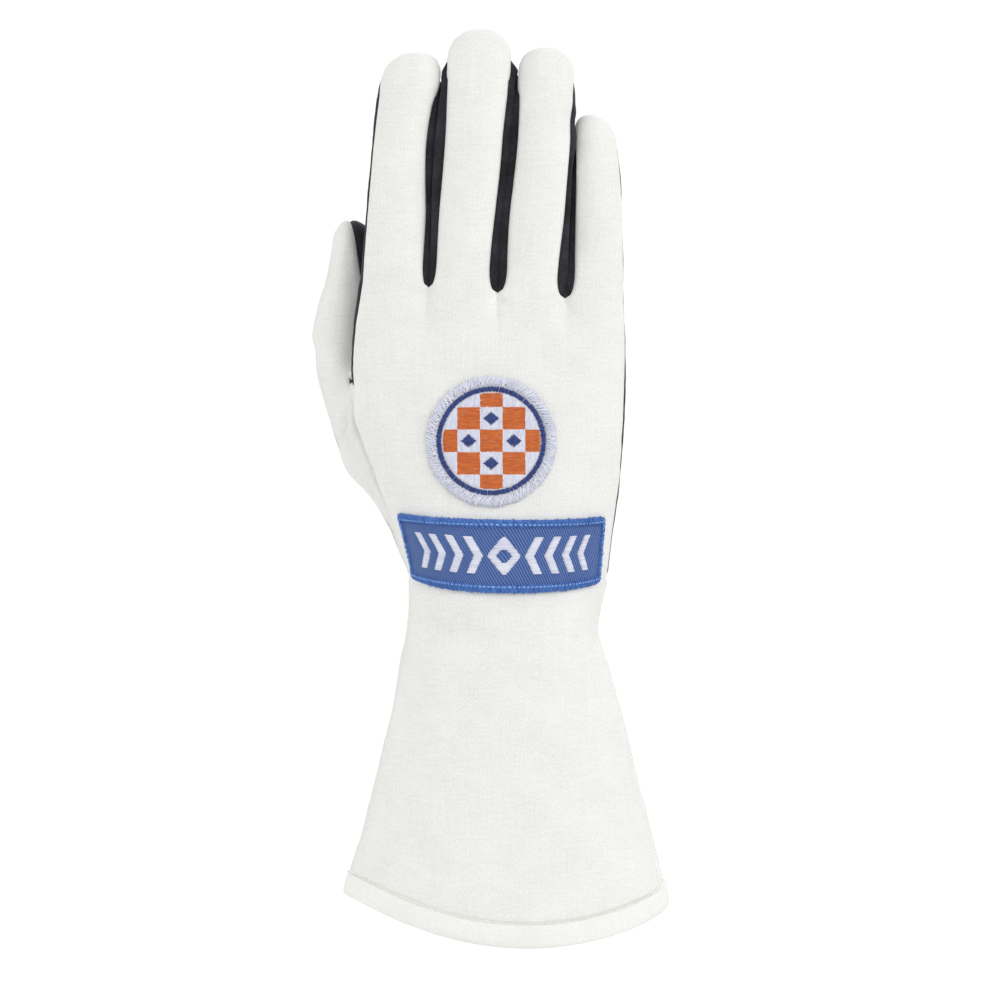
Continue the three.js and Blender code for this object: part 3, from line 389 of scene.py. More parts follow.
def finger_side(i, side, height, share):
    """The edge and the bulging wall of one side of a finger, in X, and its gap if it has one."""
    edge = FINGERS[i].outline(height)["right" if side > 0 else "left"]
    following = i + side
    if not 0 <= following <= LAST:
        return edge, edge + side * OUTER_SIDE_BULGE[side] * share, None
    gap = gap_at(min(i, following), height)
    seam = gap["middle"] - side * gap["half"]
    free = edge + side * SIDE_BULGE * gap["shared"] * share
    limit = gap["middle"] - side * FINGER_GAP / 2
    held = np.minimum(free, limit) if side > 0 else np.maximum(free, limit)
    return lerp(edge, seam, gap["shared"]), lerp(free, held, gap["shared"]), gap


WEB_MARKS = [
    float(FINGERS[0].outline(0)["left"]),
    *(float(gap_at(i, (FINGERS[i].root_z + FINGERS[i + 1].root_z) / 2)["middle"]) for i in range(LAST)),
    float(FINGERS[LAST].outline(0)["right"]),
]


def finger_base(i, part, share):
    """The height at which a finger's skin leaves the web, for a place round the finger."""
    left, right = WEB_MARKS[i], WEB_MARKS[i + 1]
    down = np.where(part == 1, share, 1 - share)
    side = web_height(np.where(part == 1, right, left)) + PALM_WEB_RISE * np.sin(down * np.pi / 2)
    front = web_height(lerp(left, right, share))
    rear = web_height(lerp(right, left, share)) + PALM_WEB_RISE
    return np.where(part == 0, front, np.where(part == 2, rear, side))


def finger_point(i, turn, along):
    """A point of a finger's skin. turn runs once round it: 0 to 1 over its back from left to right,
    1 to 2 down its right side, 2 to 3 over its palm side and 3 to 4 up its left side."""
    turn, along = np.broadcast_arrays(np.asarray(turn, float), np.asarray(along, float))
    finger = FINGERS[i]
    at = turn % 4
    part = np.minimum(np.floor(at), 3)
    share = at - part
    start = finger_base(i, part, share)
    height = lerp(start, finger.tip_z, along)
    rounding = quarter_round((height - start) / WEB_ROUNDING)

    def towards_gap(x, gap):
        return x if gap is None else lerp(lerp(x, gap["middle"], gap["shared"]), x, rounding)

    levels = finger.levels(along, OUTER_FALL)
    down = np.where(part == 1, share, 1 - share)
    swell = 4 * down * (1 - down)
    edges, walls, knits, palms = {}, {}, {}, {}
    for side in (-1, 1):
        edge, _, gap = finger_side(i, side, height, 0)
        edges[side] = towards_gap(edge, gap)
        walls[side] = towards_gap(finger_side(i, side, height, swell)[1], gap)
        knits[side], palms[side] = seam_levels(i, side, along)
    spread = np.where(part == 0, 2 * share - 1, 1 - 2 * share) * ARCH_SPREAD
    drop = (1 - np.cos(spread)) / (1 - np.cos(ARCH_SPREAD))
    middle_x, half_x = (edges[-1] + edges[1]) / 2, (edges[1] - edges[-1]) / 2
    arch_x = middle_x + half_x * np.sin(spread) / np.sin(ARCH_SPREAD)
    to_left = spread < 0
    front_y = lerp(levels["top"], np.where(to_left, knits[-1], knits[1]), drop)
    rear_y = lerp(levels["bottom"], np.where(to_left, palms[-1], palms[1]), drop)
    right = part == 1
    wall_y = lerp(np.where(right, knits[1], knits[-1]), np.where(right, palms[1], palms[-1]), down)
    arch = (part == 0) | (part == 2)
    x = np.where(arch, arch_x, np.where(right, walls[1], walls[-1]))
    y = np.where(part == 0, front_y, np.where(part == 2, rear_y, wall_y))

    outline = finger.outline(height)
    centre = (outline["left"] + outline["right"]) / 2
    half = (outline["right"] - outline["left"]) / 2
    over, beside = 2 * share - 1, 90 + (90 - TIP_SEAM) * (2 * share - 1)
    sweep = np.where(arch, TIP_SEAM * over, beside) + np.where(part > 1, 180, 0)
    bearing = np.radians(sweep)
    rounded = smoothstep(along, finger.dome - DOME_BEFORE, finger.dome + DOME_AFTER)
    deep = (levels["bottom"] - levels["top"]) / 2
    middle = (levels["top"] + levels["bottom"]) / 2
    x = lerp(x, centre + half * np.sin(bearing), rounded)
    y = lerp(y, middle - deep * np.cos(bearing), rounded)
    axis = lerp(centre, outline["axis"], rounded)
    closing = quarter_round((1 - along) / (1 - finger.dome), DOME_POWER)
    dome = np.where(along > finger.dome, closing, 1)
    return points(axis + (x - axis) * dome, middle + (y - middle) * dome, height)


# Columns of the hand run up to the roots of the fingers, front and back. A column is a place on the
# web line and an angle round the sections below it. The angles of even places are known, and those
# between them follow a smooth curve.
EVEN = 6
SIDE_EVEN = 2
FINE = 26
SIDE_FINE = 9


def spaced(angles, at):
    return curve({"along": np.arange(len(angles), dtype=float), "angle": np.array(angles)}, "angle")(at)


def front_columns(per_finger):
    """Places across the back of the hand, as (web points, angles)."""

    def web(count):
        rows = [finger_point(i, steps(0, 1, count), 0.0) for i in range(LAST + 1)]
        return np.concatenate([rows[0]] + [row[1:] for row in rows[1:]])

    known = section_angle(web(EVEN)[:, 0], KNUCKLES)
    known[0], known[-1] = SEAM_LEFT, SEAM_RIGHT
    at = steps(0, len(known) - 1, per_finger * (LAST + 1))
    return web(per_finger), spaced(known, at)


def back_columns(per_finger, per_side):
    """Places across the palm, from the little finger's side to the index finger's."""

    def web(count, side_count):
        rows = [finger_point(LAST, steps(1, 2, side_count), 0.0)]
        rows += [finger_point(i, steps(2, 3, count), 0.0)[1:] for i in range(LAST, -1, -1)]
        rows += [finger_point(0, steps(3, 4, side_count), 0.0)[1:]]
        return np.concatenate(rows)

    even = web(EVEN, SIDE_EVEN)
    opposite = math.pi - section_angle(even[:, 0], KNUCKLES)
    known, last, inner = opposite.copy(), len(even) - 1, SIDE_EVEN + 1
    for k in range(inner):
        known[k] = lerp(SEAM_RIGHT, opposite[inner], k / inner)
        known[last - k] = lerp(2 * math.pi + SEAM_LEFT, opposite[last - inner], k / inner)
    at = np.concatenate([
        steps(0, SIDE_EVEN, per_side),
        steps(SIDE_EVEN, last - SIDE_EVEN, per_finger * (LAST + 1))[1:],
        steps(last - SIDE_EVEN, last, per_side)[1:],
    ])
    return web(per_finger, per_side), spaced(known, at)


FRONT_WEB, FRONT_ANGLE = front_columns(FINE)
BACK_WEB, BACK_ANGLE = back_columns(FINE, SIDE_FINE)
LOW = slice(0, len(BACK_ANGLE) - SIDE_FINE)
HOLE_PIVOT = math.radians(185)
HOLE_CLOSES = 0.62
WEB_FADE = 2.5


def low_angle(angle, along):
    """Below the crotch of the thumb the columns of the palm end at the hole of the thumb."""
    last = BACK_ANGLE[LOW][-1]
    hole = 2 * math.pi + SEAM_LEFT - np.radians(hole_opening(along))
    end = lerp(hole, last, smoothstep(along, HOLE_CLOSES, THUMB_TOP))
    share = (angle - HOLE_PIVOT) / (last - HOLE_PIVOT)
    return np.where(angle < HOLE_PIVOT, angle, lerp(HOLE_PIVOT, end, share))


def hand_point(web, angle, along, low=False):
    x, y = section_point(low_angle(angle, along) if low else angle, hand_section(along))
    web_x, web_y = section_point(angle, KNUCKLES)
    fade = smoothstep(along, THUMB_TOP, 1) ** WEB_FADE
    return points(x + (web[..., 0] - web_x) * fade, y + (web[..., 1] - web_y) * fade, along * web[..., 2])


# Rows of the skin
def rows_between(low, high, length):
    return steps(low, high, max(int(round((high - low) * length / ROW_STEP)), 1))


CUFF_ROWS = rows_between(0, 1, CUFF_FRONT_LENGTH)
FOOT_ROWS = rows_between(0, THUMB_FOOT, PALM_LENGTH)
HOLE_ROWS = rows_between(THUMB_FOOT, THUMB_TOP, PALM_LENGTH)
TOP_ROWS = rows_between(THUMB_TOP, 1, PALM_LENGTH)
HAND_ROWS = np.concatenate([FOOT_ROWS, HOLE_ROWS[1:], TOP_ROWS[1:]])


def finger_rows(finger):
    """Rows up a finger, closer together towards its tip."""
    body = rows_between(0, TIP_START, finger.length)
    tip = rows_between(TIP_START, FOURCHETTE_END, finger.length * TIP_DENSITY)
    close = rows_between(FOURCHETTE_END, KNIT_CLOSES, finger.length * END_DENSITY)
    end = 1 - (1 - KNIT_CLOSES) * (1 - steps(0, 1, 4)) ** 2
    return np.concatenate([body, tip[1:], close[1:], end[1:]])


def corners_of(grid):
    """The corners of each cell of a grid, in order round the cell."""
    return np.stack([grid[:-1, :-1], grid[:-1, 1:], grid[1:, 1:], grid[1:, :-1]], axis=2)


def open_edges(faces):
    """Edges that only one face has, each the way round that its face runs."""
    seen = {}
    for face in faces:
        for a, b in zip(face, face[1:] + face[:1]):
            seen[(a, b)] = True
    return [edge for edge in seen if (edge[1], edge[0]) not in seen]


class Panel:
    """A piece of the skin, made of grids. Rows go up, and columns go right as seen from outside."""

    def __init__(self, name, nodes):
        self.name, self.nodes, self.grids = name, nodes, []
        self.is_knit = name.endswith("knit")

    def grid(self, rows, middle=None, across_from=0.0):
        """Adds a grid. Its weave is the arc length across from the middle column, and the height."""
        rows = np.asarray(rows, float)
        middle = rows.shape[1] // 2 if middle is None else middle
        across = run_length(rows, 1)
        across = across - across[:, middle : middle + 1] + across_from
        self.grids.append((rows, np.stack([across, rows[..., 2]], -1)))
        return across

    def weld(self):
        """Turns the grids into one mesh with shared points: vertices, faces and weave of each corner."""
        flat = np.concatenate([rows.reshape(-1, 3) for rows, _ in self.grids])
        _, first, ids = np.unique(np.round(flat, 3), axis=0, return_index=True, return_inverse=True)
        self.vertices, ids = flat[first], ids.reshape(-1)
        faces, weaves, start = [], [], 0
        for rows, weave in self.grids:
            r, c = rows.shape[:2]
            own = ids[start : start + r * c].reshape(r, c)
            start += r * c
            quads, turns = corners_of(own).reshape(-1, 4), corners_of(weave).reshape(-1, 4, 2)
            for quad, uv in zip(quads.tolist(), turns.tolist()):
                keep = [k for k in range(4) if quad[k] != quad[k - 1]]
                if len(keep) > 2 and len(set(quad)) > 2:
                    faces.append([quad[k] for k in keep])
                    weaves.append([uv[k] for k in keep])
        self.faces, self.weaves, self.edges = faces, weaves, open_edges(faces)


# Panels of the skin
TIP_FINE = 14
SPLIT_FRONT = 2
SPLIT_RISE_FOOT = -1.1
SPLIT_RISE_TIP = 1.1
SPLIT_REAR = 10

back = Panel("back_knit", ["back_panel"])
across = back.grid(
    [cuff_point(FRONT_ANGLE, v) for v in CUFF_ROWS[::-1]]
    + [hand_point(FRONT_WEB, FRONT_ANGLE, s) for s in HAND_ROWS[1:]]
)
palm = Panel("palm_suede", ["palm_panel"])
palm.grid([hand_point(BACK_WEB[LOW], BACK_ANGLE[LOW], s, low=True) for s in HOLE_ROWS])
palm.grid([hand_point(BACK_WEB, BACK_ANGLE, s) for s in TOP_ROWS])
rear_cuff = Panel("rear_cuff_knit", ["cuff_rear_panel"])
rear_cuff.grid(
    [cuff_point(low_angle(BACK_ANGLE[LOW], 0), v) for v in CUFF_ROWS[::-1]]
    + [hand_point(BACK_WEB[LOW], BACK_ANGLE[LOW], s, low=True) for s in FOOT_ROWS[1:]]
)

for i, finger in enumerate(FINGERS):
    levels = finger_rows(finger)
    knit_rows, palm_rows = [], []
    for v in levels:
        reach = float(knit_reach(v))
        turns = np.concatenate([
            steps(-reach, 0, TIP_FINE),
            steps(0, 1, FINE)[1:],
            steps(1, 1 + reach, TIP_FINE)[1:],
        ])
        knit_rows.append(finger_point(i, turns, v))
        if v > KNIT_CLOSES + 1e-9:
            continue
        side, past = min(reach, 1), max(reach - 1, 0)
        own = steps(2 + past, 3 - past, FINE)
        near = steps(1 + side, 2, SIDE_FINE)[:-1] if past == 0 else np.full(SIDE_FINE, own[0])
        far = steps(3, 4 - side, SIDE_FINE)[1:] if past == 0 else np.full(SIDE_FINE, own[-1])
        turns = np.concatenate(([near] if i == LAST else []) + [own] + ([far] if i == 0 else []))
        palm_rows.append(finger_point(i, turns, v))
    back.grid(knit_rows, TIP_FINE + FINE // 2, across[-1, i * FINE + FINE // 2])
    palm.grid(palm_rows)

fourchettes = []
for i in range(LAST):
    node = f"fourchette_{FINGER_NAMES[i]}_{FINGER_NAMES[i + 1]}"
    strip = Panel(f"{node}_suede", [node])
    for k in (i, i + 1):
        rows = []
        for v in finger_rows(FINGERS[k]):
            if v > FOURCHETTE_END + 1e-9:
                break
            side = min(float(knit_reach(v)), 1)
            turns = steps(1 + side, 2, SIDE_FINE) if k == i else steps(3, 4 - side, SIDE_FINE)
            rows.append(finger_point(k, turns, v))
        strip.grid(rows)
    fourchettes.append(strip)

# The thumb grows out of the hole between the back and the palm. A place round the hole runs from the
# crotch, down the edge of the back, round the foot and up the edge of the palm.
HOLE_PLACES = [0.09, 0.2, 0.3, 0.4, 0.5, 0.59, 0.68]
hole_from = np.concatenate([
    hand_point(BACK_WEB[-SIDE_FINE - 1 :], BACK_ANGLE[-SIDE_FINE - 1 :], THUMB_TOP),
    np.array([hand_point(FRONT_WEB[0], FRONT_ANGLE[0], s) for s in HOLE_ROWS[::-1][1:]]),
    np.array([hand_point(BACK_WEB[LOW][-1], BACK_ANGLE[LOW][-1], s, low=True) for s in HOLE_ROWS[1:]]),
])
hole_place = np.concatenate([
    steps(0, 2, SIDE_FINE),
    np.interp(HOLE_ROWS[::-1][1:], HOLE_PLACES, [8, 7, 6, 5, 4, 3, 2]),
    np.interp(HOLE_ROWS[1:], HOLE_PLACES, [8, 9, 10, 11, 12, 13, 14]),
])
THUMB_ANGLES = [2, 30, 56, 78, 98, 116, 136, 158, 180, 205, 230, 256, 288, 326, 362]
LEAVE_CROTCH, LEAVE_FRONT = (-0.32, 0.93, 0.1), (-0.8, 0.45, 0.4)
LEAVE_REAR, LEAVE_LOW = (-0.5, 0.8, 0.35), (-0.27, 0.22, 0.94)
LEAVES = unit(
    np.array([LEAVE_CROTCH] * 3 + [LEAVE_FRONT] * 5 + [LEAVE_LOW] + [LEAVE_REAR] * 5 + [LEAVE_CROTCH])
)
PULLS = [0.45] * 3 + [0.28] * 11 + [0.45]
ARRIVE = unit(np.array([0, 0.05, 1.0]))
ARRIVE_PULL = 0.36
LOW_SHARE = 0.75
known_places = np.arange(len(THUMB_ANGLES))
hole_angle = np.radians(spaced(THUMB_ANGLES, hole_place))
hole_leave = unit(np.stack([np.interp(hole_place, known_places, LEAVES[:, k]) for k in range(3)], -1))
hole_pull = np.interp(hole_place, known_places, PULLS)[:, None]
hole_values = (hole_from, hole_angle, hole_leave, hole_pull)


def moved(values, rise):
    """Values round the hole, where the front seam has moved on towards the back of the thumb."""
    places = hole_place + rise * np.interp(hole_place, [0, SPLIT_FRONT, SPLIT_REAR - 1], [0, 1, 0])
    columns = [np.interp(places, hole_place, column) for column in np.atleast_2d(values.T)]
    return np.array(columns).T if values.ndim > 1 else columns[0]


def thumb_tube(angle, along):
    side = np.cos(angle)
    shares = np.where(side < 0, thumb_curves["outer"](along), thumb_curves["inner"](along))
    half = THUMB_DEPTH / 2 * thumb_curves["depth"](along)
    dome = quarter_round((1 - along) / (1 - THUMB_DOME)) if along > THUMB_DOME else 1
    ring = points(side * THUMB_WIDTH * shares * dome, -np.sin(angle) * half * dome, along * THUMB_LENGTH)
    return THUMB_ROOT + THUMB_TIP_SHIFT * along + ring


def thumb_base(share):
    """A row round the foot of the thumb, at a share of the way from the hole to the thumb's tube."""
    rise = SPLIT_RISE_FOOT * smoothstep(share, 0, 1)
    start, angle, leave, pull = (moved(values, rise) for values in hole_values)
    end = thumb_tube(angle, 0)
    span = np.linalg.norm(end - start, axis=1)[:, None]
    bottom, top = hole_from[:, 2].min(), hole_from[SIDE_FINE, 2]
    low = 1 - smoothstep(start[:, 2:], bottom, lerp(bottom, top, LOW_SHARE))
    leave = unit(lerp(leave, unit(np.array(LEAVE_LOW)), low))
    a, b = start + leave * span * pull, end - ARRIVE * span * ARRIVE_PULL
    t, s = share, 1 - share
    at = start * s**3 + a * 3 * s * s * t + b * 3 * s * t * t + end * t**3
    outside = np.maximum(-np.cos(angle), 0) * math.sin(share * math.pi)
    at[:, 0] -= thumb_fold(at[:, 2] / PALM_LENGTH) * THUMB_WIDTH * outside
    return at


BASE_ROWS = 46
thumb_rows = [thumb_base(share) for share in steps(0, 1, BASE_ROWS)]
tube_shares = [*rows_between(0, THUMB_DOME, THUMB_LENGTH)[1:]]
tube_shares += [lerp(THUMB_DOME, 1, math.sin(t)) for t in steps(0, math.pi / 2, 11)[1:]]
for share in tube_shares:
    rise = lerp(SPLIT_RISE_FOOT, SPLIT_RISE_TIP, share)
    thumb_rows.append(thumb_tube(moved(hole_angle, rise), share))
thumb_rows = np.array(thumb_rows)
front_split = int(np.argmin(np.abs(hole_place - SPLIT_FRONT)))
rear_split = int(np.argmin(np.abs(hole_place - SPLIT_REAR)))
thumb_knit = Panel("thumb_knit", ["thumb_back"])
thumb_knit.grid(thumb_rows[:, front_split : rear_split + 1][:, ::-1])
thumb_suede = Panel("thumb_suede", ["thumb_front"])
thumb_suede.grid(
    np.concatenate([thumb_rows[:, rear_split:], thumb_rows[:, 1 : front_split + 1]], axis=1)[:, ::-1]
)

PANELS = [back, palm, *fourchettes, thumb_knit, thumb_suede, rear_cuff]


def share_normals(panels):
    """Directions out of the skin. Panels that meet at a seam have the same ones there."""
    every = np.concatenate([panel.vertices for panel in panels])
    _, ids = np.unique(np.round(every, 2), axis=0, return_inverse=True)
    ids = ids.reshape(-1)
    total = np.zeros((ids.max() + 1, 3))
    start = 0
    for panel in panels:
        own = ids[start : start + len(panel.vertices)]
        start += len(panel.vertices)
        corners = np.array([[f[0], f[1], f[2], f[-1]] for f in panel.faces])
        p = panel.vertices[corners]
        normal = np.cross(p[:, 2] - p[:, 0], p[:, 3] - p[:, 1])
        for k in range(4):
            np.add.at(total, own[corners[:, k]], normal)
        panel.own = own
    for panel in panels:
        panel.normals = unit(total[panel.own])


for panel in PANELS:
    panel.weld()
share_normals(PANELS)


# Relief of the cloth: seams that pull in, twin seams between panels of one cloth, swollen walls between
# the fingers, dimples under them, creases and a soft unevenness
SEAM_DEPTH = 0.75
SEAM_WIDTH = 0.95
SEAM_SWELL = 0.16
TWIN_DEPTH = 1.0
TWIN_WIDTH = 0.8
FAR = 99.0
MOUTH_LEVEL = -0.9 * CUFF_SIDE_LENGTH
FOURCHETTE_SWELL = 0.5
TIP_REACH = (1.3, 2.2, 0.9)
TIP_REACH_DROP = 8.5
OUTER_TUCK = 0.5
COVER_FADE = 8
DIMPLE_DROP = 2.5
DIMPLE_DEPTH = 0.85
DIMPLE_RADIUS = 3.4
RAY_DEPTH = 0.16
RAYS = 5
WAVE_HEIGHT, WAVE_SIZE = 0.45, 17
RIPPLE_HEIGHT, RIPPLE_SIZE = 0.13, 5.5
PUCKER_HEIGHT, PUCKER_SIZE = 0.2, 2.6


def at_mouth(a, b):
    """Whether an open edge lies along the mouth of the cuff, where the hem covers it."""
    return max(a[2], b[2]) < MOUTH_LEVEL and abs(b[2] - a[2]) < 0.7 * math.dist(a, b)


def distance_to(panel, ids):
    """How far each vertex of a panel is from the nearest of its vertices ids."""
    tree = kdtree.KDTree(len(ids))
    for k in ids:
        tree.insert(panel.vertices[k], k)
    tree.balance()
    return np.array([tree.find(p)[2] for p in panel.vertices])


def seam_distance(panel):
    seams = [edge for edge in panel.edges if not at_mouth(*panel.vertices[list(edge)])]
    return distance_to(panel, {k for edge in seams for k in edge})


def twin_distance(panel):
    """How far each vertex is from a seam that joins two panels of the same cloth."""
    others = [other for other in PANELS if other is not panel and other.is_knit == panel.is_knit]
    spots = {tuple(p) for other in others for p in other.vertices.round(3)}
    own = {k for edge in panel.edges for k in edge}
    shared = [k for k in own if tuple(panel.vertices[k].round(3)) in spots]
    return distance_to(panel, shared) if shared else np.full(len(panel.vertices), FAR)


def cloth_noise(vertices, size, seed):
    shift = Vector((seed * 13.1, seed * 7.7, seed * 3.3))
    return np.array([noise.noise(Vector(p) / size + shift) for p in vertices])


# Creases: middle, direction in degrees from +X towards +Z, half length, half width and depth. side is
# -1 where the cloth faces as the back of the hand does and 1 where it faces as the palm does.
CREASES = table(
    "side x z turn length width depth",
    (-1, -46, 46, 118, 16, 3.2, 0.5),
    (-1, -40, 27, 122, 12, 2.6, 0.35),
    (-1, 30, 92, 75, 12, 4.5, -0.3),
    (-1, -31, 6, 8, 16, 4, 0.4),
    (-1, 12, 1, -3, 26, 4, 0.5),
    (-1, 28, 4, 15, 12, 3.5, 0.5),
    (-1, -16, -11, -14, 17, 5, 1.1),
    (-1, 3, -29, 12, 14, 7, 0.9),
    (-1, 22, -10, 24, 16, 6, -0.6),
    (-1, -8, -58, 6, 26, 9, 0.6),
    (-1, -57, 69.5, 75, 10, 1.2, 3.2),
    (-1, -53.8, 66, 78, 9, 2, -1.2),
    (1, -16, 62, 62, 26, 3.4, 0.9),
    (1, 2, 84, 12, 26, 3, 0.8),
    (1, 14, 68, 32, 20, 2.8, 0.6),
    (1, 6, 34, 80, 18, 4, 0.5),
    (1, 0, 14, 2, 26, 3.2, 0.7),
)
# Double creases across the palm side of a finger, at shares of its length
JOINT_CREASES = (0.06, 0.36, 0.64)
JOINT_DEPTH = 0.55
JOINT_TWIN = 3.4
CREASE_BEND = 0.012


def creases(vertices, normals):
    total = np.zeros(len(vertices))
    x, _, z = vertices.T
    for side, cx, cz, turn, length, width, depth in zip(*CREASES.values()):
        a = math.radians(turn)
        along = (x - cx) * math.cos(a) + (z - cz) * math.sin(a)
        beside = (z - cz) * math.cos(a) - (x - cx) * math.sin(a) + CREASE_BEND * along**2 * np.sign(cx)
        shown = smoothstep(normals[:, 1] * side, 0.05, 0.5)
        total -= depth * shown * np.exp(-((along / length) ** 2) - (beside / width) ** 2)
    for i, finger in enumerate(FINGERS):
        for place in JOINT_CREASES:
            level = finger.root_z + place * finger.length
            near = np.exp(-(((x - lerp(finger.root_x, finger.tip_x, place)) / (finger.width * 0.5)) ** 4))
            fold = bell(z - level, 1.5) + 0.6 * bell(z - level - JOINT_TWIN, 1.2)
            total -= JOINT_DEPTH * near * fold * smoothstep(normals[:, 1], 0.2, 0.7)
    return total


def crotch_dimples(vertices):
    total = np.zeros(len(vertices))
    x, y, z = vertices.T
    for k in range(1, LAST + 1):
        mark = WEB_MARKS[k]
        dx, dz = x - mark, z - (web_height(mark) - DIMPLE_DROP)
        far = np.hypot(dx, dz)
        turn = np.arctan2(dx, -dz)
        rays = RAY_DEPTH * np.cos(RAYS * turn + k) * bell(far - 5, 4)
        total -= (DIMPLE_DEPTH * bell(far, DIMPLE_RADIUS) + rays) * smoothstep(-y, 2, 8)
    return total


def patch_cover(vertices):
    """1 under the two patches, where the cloth lies flat, and 0 well away from them."""
    x, y, z = vertices.T
    far = np.hypot(x - ROUND_X, z - ROUND_Z)
    round_one = 1 - smoothstep(far, ROUND_RADIUS, ROUND_RADIUS + COVER_FADE)
    below = smoothstep(z, WRIST_BOTTOM - 10, WRIST_BOTTOM - 4)
    above = smoothstep(z, WRIST_TOP, WRIST_TOP + COVER_FADE - 1)
    return np.maximum(round_one, below * (1 - above)) * (y < 0)


def pressed(panel, far):
    """Walls between two fingers swell until they meet, and the longer finger's wall reaches round the
    other's tip."""
    x, _, z = panel.vertices.T
    i = fourchettes.index(panel)
    longer = i if FINGERS[i].tip_z > FINGERS[i + 1].tip_z else i + 1
    owner = np.where(x < gap_at(i, z)["middle"], i, i + 1)
    tip = min(FINGERS[i].tip_z, FINGERS[i + 1].tip_z)
    reach = TIP_REACH[i] * np.where(owner == longer, 1, 0.45) * bell(z - tip + TIP_REACH_DROP, 6)
    return FOURCHETTE_SWELL * smoothstep(far, 0.8, 3.5) + reach * smoothstep(far, 0.4, 2.5)


def relief(panel, seed):
    """How far the cloth stands off the even skin at each vertex."""
    far = seam_distance(panel)
    v = panel.vertices
    wave = WAVE_HEIGHT * cloth_noise(v, WAVE_SIZE, seed)
    soft = wave + RIPPLE_HEIGHT * cloth_noise(v, RIPPLE_SIZE, seed + 1)
    pucker = PUCKER_HEIGHT * cloth_noise(v, PUCKER_SIZE, seed + 2) * bell(far, 3)
    total = soft + pucker + crotch_dimples(v) + creases(v, panel.normals)
    total *= 1 - patch_cover(v)
    if panel in fourchettes:
        total += pressed(panel, far)
    groove = SEAM_SWELL * bell(far - 2.6, 1.4) - SEAM_DEPTH * bell(far, SEAM_WIDTH)
    if panel is palm:
        right = smoothstep(panel.normals[:, 0], 0.55, 0.85)
        total -= OUTER_TUCK * right
        groove -= OUTER_TUCK * right * bell(far, 1.5)
    groove -= TWIN_DEPTH * bell(twin_distance(panel), TWIN_WIDTH) * (1 - patch_cover(v))
    settled = smoothstep(v[:, 2], -CUFF_FRONT_LENGTH, 8 - CUFF_SIDE_LENGTH)
    return total * smoothstep(far, 0, 2) * settled + groove


def shell(panel, lift):
    """Outer skin with its relief, and an inner wall joined to it along the open edges."""
    outer = panel.vertices + panel.normals * lift[:, None]
    inner = panel.vertices - panel.normals * (WALL - np.minimum(lift, 0))[:, None]
    count = len(outer)
    faces, weaves = list(panel.faces), list(panel.weaves)
    faces += [[k + count for k in reversed(face)] for face in panel.faces]
    weaves += [list(reversed(weave)) for weave in panel.weaves]
    at = {}
    for face, weave in zip(panel.faces, panel.weaves):
        for k, uv in zip(face, weave):
            at[k] = uv
    for a, b in panel.edges:
        faces.append([b, a, a + count, b + count])
        weaves.append([at[b], at[a], at[a], at[b]])
    return np.concatenate([outer, inner]), faces, weaves


def make_piece(name, mesh, finish, nodes=()):
    """Adds a visible piece. mesh holds vertices, faces and the weave of each face's corners."""
    vertices, faces, weaves = mesh
    material, slot = finish
    data = bpy.data.meshes.new(name)
    data.from_pydata((vertices * MM).tolist(), [], faces)
    layer = data.uv_layers.new(name="weave")
    layer.uv.foreach_set("vector", np.array([uv for face in weaves for uv in face], np.float32).ravel())
    data.polygons.foreach_set("use_smooth", np.ones(len(data.polygons), bool))
    data.materials.append(material)
    data.validate()
    piece = bpy.data.objects.new(name, data)
    bpy.context.scene.collection.objects.link(piece)
    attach(piece, "root")
    if nodes:
        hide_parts(*nodes)


